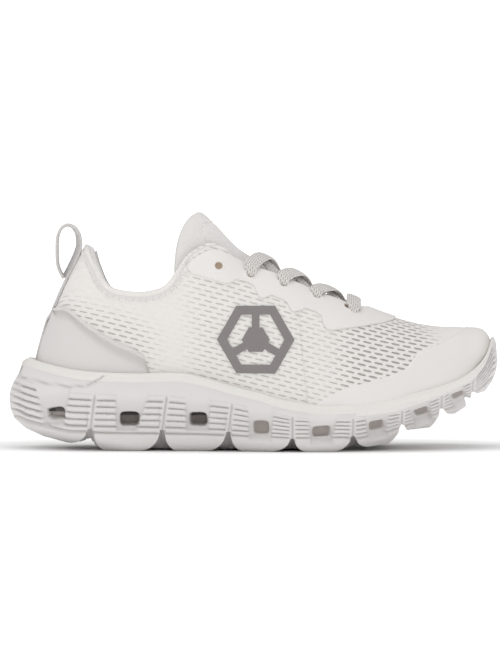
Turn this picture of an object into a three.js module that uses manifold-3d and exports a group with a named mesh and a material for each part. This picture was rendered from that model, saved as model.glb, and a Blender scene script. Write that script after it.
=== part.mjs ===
// A low running shoe for the right foot, toe along +X and lateral side towards -Y.
// Lengths are millimetres, +Z is up and the floor is Z = 0.
import * as THREE from "three";
import { mergeVertices } from "three/addons/utils/BufferGeometryUtils.js";
import Module from "manifold-3d";

const wasm = await Module();
wasm.setup();

// Overall sizes.
const LENGTH = 276; // heel to toe over the sole
const HEIGHT = 133.5; // floor to the tip of the tongue
const SOLE_WIDTH = 98; // across the ball of the foot

// Thicknesses of the layers, and the clearance between neighbours.
const GAP = 0.3;
const MESH_T = 1.6;
const OVERLAY_T = 1.2;
const STRAP_T = 1.1;
const COUNTER_T = 1.2;
const COLLAR_T = 4;
const LINING_T = 1;
const PUFF_T = 1;
const TONGUE_T = 3.8;
const BOARD_T = 1.5;
const INSOLE_T = 4;
const TREAD_T = 2.2;
const BADGE_T = 0.7;

// Lace, eyelets, straps and badge.
const LACE_WIDTH = 3;
const LACE_T = 2.4;
const EYELET_R = 3.1;
const STRAP_WIDTH = 11;
const BADGE_R = 21.8;
const BADGE_RING = 5.6;
const LIP_H = 4;

// Where the forefoot bends, and how far, and where the tongue tip folds.
const FLEX_X = 58 * (LENGTH / 276);
const FLEX_Z = 29.5 * (HEIGHT / 133.5);
const FLEX_MAX = 30;
const FOLD_X = -18;
const FOLD_Z = 118.8;

// Outlines below are drawn for a shoe of 276 by 98 by 133.5 and stretched to the sizes above.
const alongX = LENGTH / 276;
const acrossY = SOLE_WIDTH / 98;
const upZ = HEIGHT / 133.5;
const side = (points) => points.map(([x, z]) => [x * alongX, z * upZ]);

// Ribs of the foot shape from heel to toe:
// base x, base z, lateral y, medial y, crown x, crown z, crown y, squareness of the arch.
const RIBS = [
  [-119.5, 33, 0, 0, -119.5, 33, 0, 2.4],
  [-117, 31.5, -12.5, 12.5, -121, 48, 0, 2.4],
  [-109, 31, -22.5, 22.5, -118, 62, 0, 2.4],
  [-96, 30, -28.5, 28.5, -112.5, 79, 0, 2.5],
  [-78, 29, -30.5, 30.5, -103, 100, 0, 2.6],
  [-56, 28.5, -31, 30, -90, 122, 0, 2.8],
  [-33, 27.5, -32, 29, -66, 144, 0, 2.8],
  [-12, 25.5, -34.5, 29, -31, 139, 0, 2.6],
  [6, 23.5, -39, 31, -8.5, 115, 0.5, 2.2],
  [24, 21.5, -43, 36, 14, 103, 1.5, 1.9],
  [42, 20, -45.5, 41, 36, 91.5, 3, 1.9],
  [60, 20.5, -45, 44, 56, 83, 4.5, 2],
  [77, 22.5, -40.5, 43.5, 75, 75.5, 6, 2.1],
  [92, 26.5, -34, 42, 92, 70.5, 7.5, 2.2],
  [105, 31, -27.5, 38, 106, 68.5, 8.5, 2.3],
  [116, 35.5, -20.5, 32.5, 119, 68, 8.5, 2.3],
  [125, 39.5, -12, 26, 129, 64.5, 8, 2.3],
  [130, 42.5, -3, 17.5, 132.5, 56, 7.5, 2.3],
  [131.5, 44, 7, 7, 131.5, 44, 7, 2.3],
].map(([bx, bz, lateral, medial, cx, cz, cy, power]) => ({
  bx: bx * alongX,
  bz: bz * upZ,
  lateral: lateral * acrossY,
  medial: medial * acrossY,
  cx: cx * alongX,
  cz: cz * upZ,
  cy: cy * acrossY,
  power,
}));
const LAST = RIBS.length - 1;

// Top edge of the sole's lip, from heel to toe.
const LIP = side([
  [-127, 51.5], [-114.5, 48.4], [-96, 45.2], [-67.8, 43.9], [-44.7, 44.2], [-30.7, 42.2],
  [-12, 37], [3.7, 33.2], [11, 30.6], [33.5, 26.6], [43.6, 26.2], [67, 28.4],
  [94.8, 33.8], [113.7, 39.3], [124, 45], [130.5, 52], [133.5, 59], [135, 64],
]);
// Undersides of the nine pods, drawn through as one curve.
const BOTTOM = side([
  [-138, 22], [-128.5, 11.3], [-118.4, 6.8], [-105.5, 3.5], [-92, 0], [50, 0],
  [61.6, 2.2], [73.4, 4.5], [90.3, 10.6], [97.6, 12.6], [104.3, 15.8], [112.8, 19.7],
  [121.2, 25], [130.2, 31.5], [138, 40],
]);
// Grooves between the pods, each with the height of its top.
const NOTCHES = side([
  [-92, 12.4], [-51.5, 12], [-14.3, 11.3], [21.7, 7.3], [56.3, 8.4], [84.1, 14],
  [106.6, 22.5], [124.6, 31.5],
]);
// Recesses in the pod sides: middle x, middle z, width, height, tilt in degrees, depth.
const WINDOWS = [
  [-112.5, 21.6, 10.6, 6.6, -10, 15],
  [-69.7, 18.2, 10.6, 8, 0, 15],
  [-31.6, 18.2, 9.4, 8, 0, 15],
  [3.4, 13.9, 8.4, 7.4, 0, 7],
  [38.5, 11.6, 10, 5, 2, 7],
  [69, 14.7, 7.2, 5, 8, 7],
  [95, 21.5, 7.2, 4.8, 22, 7],
  [115.5, 30.3, 7, 4.2, 28, 6],
];
// Upper edge of the upper: heel tab, collar, eyestay corner.
const COLLAR = side([
  [-96.5, 115.3], [-92.8, 114.8], [-89.7, 110.8], [-88.8, 104], [-86.9, 98.2],
  [-82.7, 93.7], [-77.7, 91.1], [-66.1, 89.6], [-56, 90.6], [-48.7, 94.2], [-44.2, 100.7],
  [-37.6, 110.3], [-29.3, 115.6], [-23.6, 117.2], [-14.3, 115.3], [-8.7, 112.5],
]);
// Half of the throat opening seen from above: x and half width.
const THROAT = [
  [-52, 26], [-30, 20.5], [-14, 18.5], [4, 16], [22, 14.4], [40, 13.2], [54, 12.2],
  [60.5, 10], [64, 6], [65.2, 0],
];
// Eyelets seen from above: x and distance from the middle line. The last is left unlaced.
const EYELETS = [
  [53.2, 17.6], [35.2, 18.4], [16.6, 19.8], [-2, 21.6], [-19.7, 23.8],
];
const TREADS = NOTCHES.length;

// A geometry as a closed solid, turned the right way out.
function solid(geometry) {
  const bare = geometry.index ? geometry.toNonIndexed() : geometry;
  const merged = mergeVertices(
    new THREE.BufferGeometry().setAttribute("position", bare.getAttribute("position")), 1e-4);
  const index = merged.index.array;
  const kept = [];
  for (let i = 0; i < index.length; i += 3) {
    const [a, b, c] = [index[i], index[i + 1], index[i + 2]];
    if (a !== b && b !== c && a !== c) kept.push(a, b, c);
  }
  const make = (tris) => new wasm.Manifold(new wasm.Mesh({
    numProp: 3, vertProperties: merged.attributes.position.array, triVerts: new Uint32Array(tris),
  }));
  const first = make(kept);
  if (first.volume() > 0) return first;
  for (let i = 0; i < kept.length; i += 3) [kept[i], kept[i + 1]] = [kept[i + 1], kept[i]];
  return make(kept);
}

// A closed skin over rings of points; both end rings are closed with a fan.
function skin(rings) {
  const flat = [];
  const tri = (...p) => p.forEach((v) => flat.push(v.x, v.y, v.z));
  const n = rings[0].length;
  for (let i = 0; i + 1 < rings.length; i++)
    for (let j = 0; j < n; j++) {
      const k = (j + 1) % n;
      tri(rings[i][j], rings[i + 1][j], rings[i + 1][k]);
      tri(rings[i][j], rings[i + 1][k], rings[i][k]);
    }
  for (const end of [0, rings.length - 1]) {
    const ring = end ? [...rings[end]].reverse() : rings[end];
    const middle = ring.reduce((s, p) => s.add(p), new THREE.Vector3()).divideScalar(n);
    for (let j = 0; j < n; j++) tri(middle, ring[j], ring[(j + 1) % n]);
  }
  return solid(new THREE.BufferGeometry()
    .setAttribute("position", new THREE.Float32BufferAttribute(flat, 3)));
}

// A side-view outline carried along Y from y0 to y1.
function sidePrism(points, y0 = -90, y1 = 90, holes = []) {
  const shape = new THREE.Shape(points.map(([x, z]) => new THREE.Vector2(x, z)));
  for (const hole of holes)
    shape.holes.push(new THREE.Path(hole.map(([x, z]) => new THREE.Vector2(x, z))));
  const g = new THREE.ExtrudeGeometry(shape, { depth: y1 - y0, bevelEnabled: false });
  return solid(g.rotateX(Math.PI / 2).translate(0, y1, 0));
}

// A plan-view outline carried up from z0 to z1.
function planPrism(points, z0, z1) {
  const shape = new THREE.Shape(points.map(([x, y]) => new THREE.Vector2(x, y)));
  const g = new THREE.ExtrudeGeometry(shape, { depth: z1 - z0, bevelEnabled: false });
  return solid(g.translate(0, 0, z0));
}

// Height of a polyline at x.
function heightAt(line, x) {
  let i = 1;
  while (i < line.length - 1 && line[i][0] < x) i++;
  const [x0, z0] = line[i - 1];
  const [x1, z1] = line[i];
  return z0 + ((z1 - z0) * Math.min(Math.max(x - x0, 0), x1 - x0)) / (x1 - x0);
}

// The foot shape grown by an offset: curves through the lateral base, medial base and crown.
function footCurves(offset) {
  const grow = (i, get, turn) => {
    const ends = i === 0 || i === LAST;
    const [a, b] = [get(RIBS[Math.max(i - 1, 0)]), get(RIBS[Math.min(i + 1, LAST)])];
    const t = new THREE.Vector2(b[0] - a[0], b[1] - a[1]).normalize();
    const n = ends ? new THREE.Vector2(i ? 1 : -1, 0) : new THREE.Vector2(-t.y * turn, t.x * turn);
    const p = get(RIBS[i]);
    return [p[0] + n.x * offset, p[1] + n.y * offset];
  };
  const curve = (place) => new THREE.CatmullRomCurve3(
    RIBS.map((r, i) => new THREE.Vector3(...place(r, i))), false, "catmullrom", 0.5);
  return {
    lateral: curve((r, i) => {
      const [x, y] = grow(i, (q) => [q.bx, q.lateral], -1);
      return [x, y, r.bz];
    }),
    medial: curve((r, i) => {
      const [x, y] = grow(i, (q) => [q.bx, q.medial], 1);
      return [x, y, r.bz];
    }),
    crown: curve((r, i) => {
      const [x, z] = grow(i, (q) => [q.cx, q.cz], 1);
      return [x, r.cy, z];
    }),
  };
}

const powerAt = (t) => {
  const u = Math.min(t * LAST, LAST - 1e-6);
  const i = Math.floor(u);
  return RIBS[i].power + (RIBS[i + 1].power - RIBS[i].power) * (u - i);
};

// The point of the foot shape at rib position t, with spread 1 at the base and 0 at the crown.
function footPoint(curves, t, spread, sign) {
  const base = (sign < 0 ? curves.lateral : curves.medial).getPoint(t);
  const crown = curves.crown.getPoint(t);
  const rise = Math.pow(Math.max(0, 1 - spread * spread), 1 / powerAt(t));
  return new THREE.Vector3(
    base.x + (crown.x - base.x) * rise,
    crown.y + (base.y - crown.y) * spread,
    base.z + (crown.z - base.z) * rise);
}

// The foot shape grown by an offset, as a solid whose base is carried down by a drop.
function foot(offset, drop = 0, steps = 2, arc = 6) {
  const curves = footCurves(offset);
  const rings = [];
  for (let i = 0; i <= LAST * steps; i++) {
    const t = i / (LAST * steps);
    const ring = [];
    for (let j = 0; j <= arc; j++)
      ring.push(footPoint(curves, t, Math.cos((j / arc) * (Math.PI / 2)), -1));
    for (let j = arc - 1; j >= 0; j--)
      ring.push(footPoint(curves, t, Math.cos((j / arc) * (Math.PI / 2)), 1));
    if (drop) {
      const low = new THREE.Vector3(0, 0, drop);
      ring.push(ring[ring.length - 1].clone().sub(low));
      ring.unshift(ring[0].clone().sub(low));
    }
    rings.push(ring);
  }
  return skin(rings);
}

// A layer of the upper between two offsets from the foot shape.
const layer = (inner, outer, steps = 2) => foot(outer, 0, steps).subtract(foot(inner, 8, steps));
const innerLayer = (inner, outer) => layer(inner, outer, 1);

// The point above the instep at plan position x and distance across, with a lift along the normal.
const MID = footCurves(0);
function instep(x, across, lift) {
  const sign = across < 0 ? -1 : 1;
  const find = (px, pa) => {
    let [lo, hi] = [0.28, 0.9];
    let p;
    for (let i = 0; i < 40; i++) {
      const t = (lo + hi) / 2;
      const half = Math.abs(footPoint(MID, t, 1, sign).y - MID.crown.getPoint(t).y);
      p = footPoint(MID, t, Math.min(Math.abs(pa) / half, 1), pa < 0 ? -1 : 1);
      if (p.x < px) lo = t;
      else hi = t;
    }
    return p;
  };
  const p = find(x * alongX, across);
  const dx = find(x * alongX + 1, across).sub(find(x * alongX - 1, across));
  const dy = find(x * alongX, across + 1).sub(find(x * alongX, across - 1));
  const n = dx.cross(dy).normalize();
  return { point: p.clone().addScaledVector(n, lift), normal: n };
}

// Everything below the sole's floor, raised by an amount.
function underFloor(rise) {
  const line = RIBS.map((r) => [r.bx, r.bz + rise]);
  const first = line[0];
  const last = line[line.length - 1];
  return sidePrism([
    [first[0] - 30, -20], [last[0] + 30, -20], [last[0] + 30, last[1]], ...[...line].reverse(),
    [first[0] - 30, first[1]],
  ]);
}

// A slab between two heights above the floor, inside an offset of the foot shape.
function floorSlab(offset, low, high) {
  const curves = footCurves(offset);
  const rings = [];
  for (let i = 1; i < LAST * 2; i++) {
    const t = i / (LAST * 2);
    const [l, m] = [curves.lateral.getPoint(t), curves.medial.getPoint(t)];
    rings.push([
      new THREE.Vector3(l.x, l.y, l.z + low), new THREE.Vector3(l.x, l.y, l.z + high),
      new THREE.Vector3(m.x, m.y, m.z + high), new THREE.Vector3(m.x, m.y, m.z + low),
    ]);
  }
  return skin(rings);
}

// Half widths of the sole at shares of its length, lateral and medial.
const SOLE_PLAN = [
  [0, 0, 0], [0.006, -10, 10], [0.03, -21, 21], [0.085, -32, 32], [0.165, -37.5, 37],
  [0.29, -37.5, 35.5], [0.43, -40, 33], [0.57, -46, 38], [0.68, -49.5, 46], [0.755, -47, 48.5],
  [0.845, -38.5, 46.5], [0.905, -29.5, 40.5], [0.95, -21, 33.5], [0.985, -9.5, 22.5], [1, 7, 7],
].map(([share, lateral, medial]) => [share, lateral * acrossY, medial * acrossY]);

// The sole block with its pods uncut: rings of bottom, side wall and lip at each share of length.
function soleBlock() {
  const lateral = new THREE.CatmullRomCurve3(
    SOLE_PLAN.map(([s, l]) => new THREE.Vector3(s, l, 0)), false, "catmullrom", 0.5);
  const medial = new THREE.CatmullRomCurve3(
    SOLE_PLAN.map(([s, , m]) => new THREE.Vector3(s, m, 0)), false, "catmullrom", 0.5);
  const waist = side([[-138, 27], [-90, 17], [0, 13], [60, 12], [100, 24], [138, 47]]);
  const levels = [
    [-117, 124, 7, (x) => heightAt(BOTTOM, x)],
    [-130, 132, 2, (x) => heightAt(BOTTOM, x) + 2.5],
    [-138, 138, 0, (x) => heightAt(waist, x)],
    [-132.5, 138, 1, (x) => heightAt(LIP, x) - LIP_H - 1],
    [-131, 137.6, 0.2, (x) => heightAt(LIP, x) - LIP_H],
    [-129, 136.4, 0.4, (x) => heightAt(LIP, x) - 0.8],
    [-127, 134.6, 2.4, (x) => heightAt(LIP, x)],
  ];
  const n = (SOLE_PLAN.length - 1) * 3;
  const rings = [];
  for (let i = 0; i <= n; i++) {
    const [l, m] = [lateral.getPoint(i / n), medial.getPoint(i / n)];
    const place = (heel, toe, inset, height, p) => {
      const x = (heel + (toe - heel) * Math.min(Math.max(p.x, 0), 1)) * alongX;
      const middle = (l.y + m.y) / 2;
      const half = Math.abs(p.y - middle);
      const share = half > 1e-6 ? Math.max(half - inset, half * 0.4) / half : 0;
      return new THREE.Vector3(x, middle + (p.y - middle) * share, height(x));
    };
    rings.push([
      ...levels.map((v) => place(...v, l)), ...[...levels].reverse().map((v) => place(...v, m)),
    ]);
  }
  return skin(rings);
}

// A funnel-shaped groove right across the sole between two pods.
function notch([x, top]) {
  const low = heightAt(BOTTOM, x);
  const h = top - low;
  return sidePrism([
    [x - 5.2, low - 6], [x + 5.2, low - 6], [x + 4.2, low], [x + 2.6, low + h * 0.35],
    [x + 1.3, low + h * 0.75], [x + 0.9, top - 0.5], [x, top], [x - 0.9, top - 0.5],
    [x - 1.3, low + h * 0.75], [x - 2.6, low + h * 0.35], [x - 4.2, low],
  ]);
}

// A round-cornered recess in the side of a pod, lateral (-1) or medial (1).
function recess([x, z, width, height, tilt, depth], sign) {
  const [w, h, c] = [width / 2, height / 2, 1.6];
  const turn = THREE.MathUtils.degToRad(tilt);
  const corners = [
    [-w + c, -h], [w - c, -h], [w, -h + c], [w, h - c], [w - c, h], [-w + c, h], [-w, h - c],
    [-w, -h + c],
  ].map(([a, b]) => [
    x * alongX + a * Math.cos(turn) - b * Math.sin(turn),
    z * upZ + a * Math.sin(turn) + b * Math.cos(turn),
  ]);
  const reach = soleEdge(x, sign) - sign * depth;
  return sign < 0 ? sidePrism(corners, -90, reach) : sidePrism(corners, reach, 90);
}

// How far out the sole reaches at x.
function soleEdge(x, sign) {
  const share = (x + 138) / 276;
  return heightAt(SOLE_PLAN.map(([s, l, m]) => [s, sign < 0 ? l : m]), share);
}

// The dark plate over the rear pods, or the pocket for it when given a clearance.
function plate(clear = 0) {
  const g = new THREE.BoxGeometry(
    96 * alongX + 2 * clear, 52 * acrossY + 2 * clear, 1.8 + 2 * clear);
  return solid(g.translate(-70 * alongX, 0, 23.2 * upZ));
}

const block = soleBlock();
const band = (rise) => sidePrism([
  ...BOTTOM.map(([x, z]) => [x, z + rise]), [BOTTOM[BOTTOM.length - 1][0], -20],
  [BOTTOM[0][0], -20],
]);
const grooves = NOTCHES.map(notch);

function midsole() {
  let s = block.subtract(foot(GAP)).subtract(band(TREAD_T + GAP)).subtract(plate(GAP));
  for (const g of grooves) s = s.subtract(g);
  for (const w of WINDOWS) s = s.subtract(recess(w, -1)).subtract(recess(w, 1));
  return s;
}

// The rubber tread under pod number i.
function tread(i) {
  const reach = 150 * alongX;
  const from = i ? NOTCHES[i - 1][0] : -reach;
  const to = i < NOTCHES.length ? NOTCHES[i][0] : reach;
  let s = block.intersect(band(TREAD_T));
  s = s.intersect(sidePrism([[from, -20], [to, -20], [to, 90], [from, 90]]));
  for (const g of grooves) s = s.subtract(g);
  return s;
}

// What lies behind the forefoot bend, and ahead of the swept wedge.
const behindBend = (x) => sidePrism([[-200, -20], [x, -20], [x, 200], [-200, 200]]);
function aheadOfBend(shift) {
  const lean = Math.tan(THREE.MathUtils.degToRad(FLEX_MAX + 2));
  const top = 100;
  return sidePrism([
    [FLEX_X + shift, -20], [200, -20], [200, top], [FLEX_X + shift + lean * (top - FLEX_Z), top],
    [FLEX_X + shift, FLEX_Z],
  ]);
}

const throatPrism = planPrism([
  ...THROAT.map(([x, h]) => [x * alongX, throatMiddle(x) - h * acrossY]),
  ...[...THROAT].reverse().slice(1).map(([x, h]) => [x * alongX, throatMiddle(x) + h * acrossY]),
], 40, 200);
function throatMiddle(x) {
  return heightAt(RIBS.map((r) => [r.cx / alongX, r.cy]).slice(6), x);
}

// The region below the collar line, opened over the instep.
function belowCollar(drop = 0) {
  const line = COLLAR.map(([x, z]) => [x, z - drop]);
  return sidePrism([
    [-150 * alongX, 0], [-150 * alongX, line[0][1] + 1], ...line, [0, 150 * upZ],
    [150 * alongX, 150 * upZ], [150 * alongX, 0],
  ]);
}

const half = (sign) => sidePrism([[-200, -20], [200, -20], [200, 250], [-200, 250]],
  sign < 0 ? -90 : GAP / 2, sign < 0 ? -GAP / 2 : 90);

// Holes through the upper along its normal at the eyelets of one side.
function eyeletHoles(sign) {
  return EYELETS.map(([x, across]) => {
    const { point, normal } = instep(x, sign * across * acrossY, 0);
    const g = new THREE.CylinderGeometry(EYELET_R, EYELET_R, 12, 12);
    g.applyQuaternion(new THREE.Quaternion().setFromUnitVectors(
      new THREE.Vector3(0, 1, 0), normal));
    return solid(g.translate(point.x, point.y, point.z));
  });
}
const holes = { "-1": eyeletHoles(-1), 1: eyeletHoles(1) };

const meshLayer = layer(-MESH_T, 0).subtract(underFloor(GAP)).subtract(throatPrism);
const skinLayer = layer(GAP, GAP + OVERLAY_T);
const aboveLip = (rise, heel, toe) => {
  const inside = LIP.filter(([x]) => x > heel && x < toe).map(([x, z]) => [x, z + rise]);
  return [[heel, heightAt(LIP, heel) + rise], ...inside, [toe, heightAt(LIP, toe) + rise]];
};

function quarter(sign) {
  let s = meshLayer.intersect(belowCollar()).intersect(half(sign)).intersect(behindBend(FLEX_X - 0.5));
  for (const h of holes[sign]) s = s.subtract(h);
  return s;
}

function vamp() {
  const lean = Math.tan(THREE.MathUtils.degToRad(FLEX_MAX + 2));
  return meshLayer.intersect(sidePrism([
    [FLEX_X - 0.2, 0], [FLEX_X + 0.2, 0], [FLEX_X + 0.2, FLEX_Z],
    [FLEX_X + 0.2 + lean * (120 - FLEX_Z), 120], [FLEX_X - 0.2, 120],
  ]));
}

const toeBox = () => meshLayer.intersect(aheadOfBend(0.5));

function eyestay(sign) {
  const outline = side([
    [-50, 97], [-34.8, 99.7], [-14.3, 93.4], [-9.8, 96.2], [0.8, 91.7], [2.5, 86.6], [4.8, 85.5],
    [10.1, 87.2], [19.4, 82.7], [22.8, 77.6], [29.5, 79.9], [38.5, 75.4], [40.2, 69.2],
    [41.9, 67.5], [59, 69.8], [59, 140], [-50, 140],
  ]);
  let s = skinLayer.intersect(sidePrism(outline)).intersect(belowCollar()).subtract(throatPrism);
  s = s.intersect(half(sign)).intersect(behindBend(FLEX_X - 0.5));
  for (const h of holes[sign]) s = s.subtract(h);
  return s;
}

const HEEL_WRAP = side([
  [-56.8, 47.5], [-60.5, 53.2], [-68, 58.7], [-77.3, 60.8], [-93, 70.9], [-108, 80.7],
  [-114.5, 78.6], [-150, 76],
]);
function heelOverlay() {
  const lip = aboveLip(0.5, -150 * alongX, HEEL_WRAP[0][0]);
  return skinLayer.intersect(sidePrism([...lip, ...HEEL_WRAP]));
}

const TOE_WRAP = side([
  [150, 90], [117.5, 90], [116.4, 66.9], [104.3, 60.8], [94.8, 57.9], [91.4, 55.1], [85.8, 48.4],
  [63.3, 41.1], [52, 38.3], [41.9, 33.8], [34, 28.6],
]);
function toeOverlay() {
  const lip = aboveLip(0.65, TOE_WRAP[TOE_WRAP.length - 1][0], 150 * alongX);
  return skinLayer.intersect(sidePrism([...lip, ...TOE_WRAP]));
}

const STRAP_TOP = 96 * upZ;
function heelStrip() {
  const inner = 2 * GAP + OVERLAY_T;
  const strip = layer(inner, inner + STRAP_T);
  const low = heightAt(LIP, -127 * alongX) + 0.8;
  return strip.intersect(sidePrism(
    [[-150 * alongX, low], [-90 * alongX, low], [-90 * alongX, STRAP_TOP - GAP],
      [-150 * alongX, STRAP_TOP - GAP]], -STRAP_WIDTH / 2, STRAP_WIDTH / 2));
}

// The webbing of the pull loop as a band around a side-view path.
function webbing(path) {
  const curve = new THREE.CatmullRomCurve3(
    path.map(([x, z]) => new THREE.Vector3(x, z, 0)), false, "centripetal");
  const n = 14;
  const edge = (sign) => Array.from({ length: n + 1 }, (_, i) => {
    const p = curve.getPoint(i / n);
    const t = curve.getTangent(i / n);
    return [p.x - t.y * sign * STRAP_T / 2, p.y + t.x * sign * STRAP_T / 2];
  });
  return sidePrism([...edge(1), ...edge(-1).reverse()], -STRAP_WIDTH / 2, STRAP_WIDTH / 2);
}
const LOOP_CUT = 113.6 * upZ;
const LOOP = side([
  [-107.3, 96.2], [-110.4, 103], [-111, 112], [-110.4, 121], [-107, 125.6], [-102.8, 126.2],
  [-99.2, 122.4], [-98.4, 116.5], [-99.3, 111.6], [-103.6, 103.2], [-107.5, 96.2],
]);
const loopBand = () => webbing(LOOP.slice(0, 7)).add(webbing(LOOP.slice(5)));
const cutBox = (low, high) => sidePrism(
  [[-150 * alongX, low], [0, low], [0, high], [-150 * alongX, high]]);

// Counter, padding and lining around the heel and ankle.
const PAD_FRONT = -47 * alongX;
function collarRegion(low, drop) {
  const line = COLLAR.filter(([x]) => x < PAD_FRONT).map(([x, z]) => [x, z - drop]);
  return sidePrism([
    [-150 * alongX, low], [PAD_FRONT, low], [PAD_FRONT, heightAt(COLLAR, PAD_FRONT) - drop],
    ...line.reverse(), [-150 * alongX, line[line.length - 1][1]],
  ]);
}
const INSIDE = MESH_T + GAP;
const FLOOR_TOP = BOARD_T + INSOLE_T + 7 * GAP;
const COUNTER_TOP = 73 * upZ;

function heelCounter() {
  const region = sidePrism([
    [-150 * alongX, 0], [-62 * alongX, 0], [-66 * alongX, 50 * upZ], [-84 * alongX, COUNTER_TOP],
    [-150 * alongX, COUNTER_TOP],
  ]);
  return innerLayer(-INSIDE - COUNTER_T, -INSIDE).subtract(underFloor(FLOOR_TOP)).intersect(region);
}
const collarPadding = () => innerLayer(-INSIDE - COLLAR_T, -INSIDE)
  .intersect(collarRegion(COUNTER_TOP + GAP, 0.8));
const collarLining = () => innerLayer(-INSIDE - COLLAR_T - GAP - LINING_T, -INSIDE - COLLAR_T - GAP)
  .subtract(underFloor(FLOOR_TOP)).intersect(collarRegion(0, 0.4));
function toePuff() {
  const back = FLEX_X + 40 * alongX;
  return innerLayer(-INSIDE - PUFF_T, -INSIDE).subtract(underFloor(FLOOR_TOP)).intersect(sidePrism(
    [[back, 0], [200, 0], [200, 120], [back + 12, 120], [back + 8, 55 * upZ]]));
}

// The tongue lies under the eyestays with room for the lace between.
const TONGUE_IN = INSIDE + LACE_T + 6.5 * GAP;
function tongueWhole() {
  const outline = side([
    [-32.9, 137], [-36.3, 128.3], [-41.3, 119.3], [-44.2, 113.1], [-44.4, 107], [-42, 101],
    [-20, 93], [0, 87], [30, 77], [56.2, 70], [56.2, 110], [0, 140],
  ]);
  return layer(-TONGUE_IN - TONGUE_T, -TONGUE_IN).intersect(sidePrism(outline));
}
function foldSide(up) {
  const [x, z, lift] = [FOLD_X * alongX, FOLD_Z * upZ, up ? GAP / 2 : -GAP / 2];
  const far = up ? 220 : -20;
  return sidePrism([
    [x + 90, z + 7.2 + lift], [x - 90, z - 7.2 + lift], [x - 90, far], [x + 90, far],
  ]);
}

// One cord: bar over the front eyelets, each crossing down into the next pair, both ends tucked in.
const UNDER = -(INSIDE + LACE_T / 2 + 2 * GAP);
const OVER = GAP + OVERLAY_T + GAP + LACE_T / 2 + GAP;
const TURN = (OVER - UNDER) / 2;
function laceHalf(sign, lift) {
  const pts = [];
  const put = (x, across, height) => pts.push(instep(x, across * acrossY, height));
  const hole = (k, s, up) => {
    const [x, h] = EYELETS[k];
    const centre = (OVER + UNDER) / 2;
    for (const a of [-90, -45, 0, 45, 90]) {
      const r = THREE.MathUtils.degToRad(up ? a : -a);
      put(x, s * (h - TURN + TURN * Math.cos(r)), centre + TURN * Math.sin(r));
    }
  };
  put(EYELETS[0][0], sign * 7, OVER - 0.5);
  hole(0, sign, false);
  let s = sign;
  for (let k = 0; k < 3; k++) {
    const [x, h] = EYELETS[k];
    const next = EYELETS[k + 1];
    const high = lift * (k % 2 ? 1 : -1) > 0;
    put(x + (next[0] - x) * 0.05, s * (h - TURN) * 0.82, UNDER);
    put(x + (next[0] - x) * 0.22, s * (h - TURN) * 0.52, high ? -1.7 : -3.1);
    put((x + next[0]) / 2, 0, high ? 1.3 : -1.7);
    put(x + (next[0] - x) * 0.78, -s * (next[1] - TURN) * 0.6, OVERLAY_T + (high ? 1.75 : 0.35));
    s = -s;
    hole(k + 1, s, false);
  }
  put(-8, s * 18.6, UNDER - 0.1);
  put(-15, s * 20.4, UNDER - 0.3);
  return pts;
}
function lace() {
  const middle = instep(EYELETS[0][0], 0, OVER - 0.8);
  const stops = [...laceHalf(-1, 1).reverse(), middle, ...laceHalf(1, -1)];
  const line = new THREE.CatmullRomCurve3(stops.map((s) => s.point), false, "centripetal");
  const count = stops.length * 2;
  const rings = [];
  for (let i = 0; i <= count; i++) {
    const t = i / count;
    const at = line.getPoint(t);
    const along = line.getTangent(t);
    const k = Math.min(Math.floor(t * (stops.length - 1)), stops.length - 2);
    const blend = t * (stops.length - 1) - k;
    const up = stops[k].normal.clone().lerp(stops[k + 1].normal, blend);
    const flat = laceFace(stops, k, blend, along, up);
    const wide = new THREE.Vector3().crossVectors(along, flat).normalize();
    rings.push(Array.from({ length: 8 }, (_, j) => {
      const a = ((j + 0.5) / 8) * Math.PI * 2;
      return at.clone()
        .addScaledVector(wide, (Math.cos(a) * LACE_WIDTH) / 2)
        .addScaledVector(flat, (Math.sin(a) * LACE_T) / 2);
    }));
  }
  return skin(rings);
}

// The face direction of the lace: square to its run, and square to X where it turns in an eyelet.
function laceFace(stops, k, blend, along, up) {
  const turn = Math.abs(along.dot(up));
  const acrossShoe = new THREE.Vector3(1, 0, 0);
  const wide = new THREE.Vector3().crossVectors(along, up);
  const inTurn = acrossShoe.addScaledVector(along, -along.x);
  if (wide.dot(inTurn) < 0) inTurn.negate();
  wide.lerp(inTurn, Math.min(Math.max((turn - 0.25) * 2, 0), 1)).normalize();
  return new THREE.Vector3().crossVectors(wide, along).normalize();
}

// A six-sided wheel with three spokes, on the lateral side only.
function badge() {
  const [x, z] = [1.2 * alongX, 63 * upZ];
  const hexagon = (r, turn = 0) => Array.from({ length: 6 }, (_, i) => {
    const a = (i / 6) * Math.PI * 2 + turn;
    return [x + r * Math.cos(a), z + r * Math.sin(a)];
  });
  const flat = layer(GAP, GAP + BADGE_T);
  let mark = sidePrism(hexagon(BADGE_R), -90, 0, [hexagon(BADGE_R - BADGE_RING).reverse()]);
  mark = mark.add(sidePrism(hexagon(BADGE_R * 0.36), -90, 0));
  for (const a of [90, 210, 330]) {
    const g = new THREE.BoxGeometry(BADGE_R * 0.75, 90, 4.2).translate(BADGE_R * 0.4, 0, 0);
    g.rotateY(-THREE.MathUtils.degToRad(a)).translate(x, -45.5, z);
    mark = mark.add(solid(g));
  }
  return flat.intersect(mark);
}

const MATERIALS = {
  foam: ["#dedad7", 0.75],
  tread: ["#dad6d4", 0.8],
  plate: ["#2b2b2c", 0.5],
  board: ["#d8d3cb", 0.9],
  insole: ["#e6e2dc", 0.95],
  mesh: ["#ece9e6", 0.9],
  overlay: ["#dedbd8", 0.55],
  strap: ["#e6e3df", 0.85],
  lining: ["#e9e5df", 0.95],
  padding: ["#e3dfd6", 0.95],
  lace: ["#c9c3bb", 0.9],
  badge: ["#84807c", 0.5],
};

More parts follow.
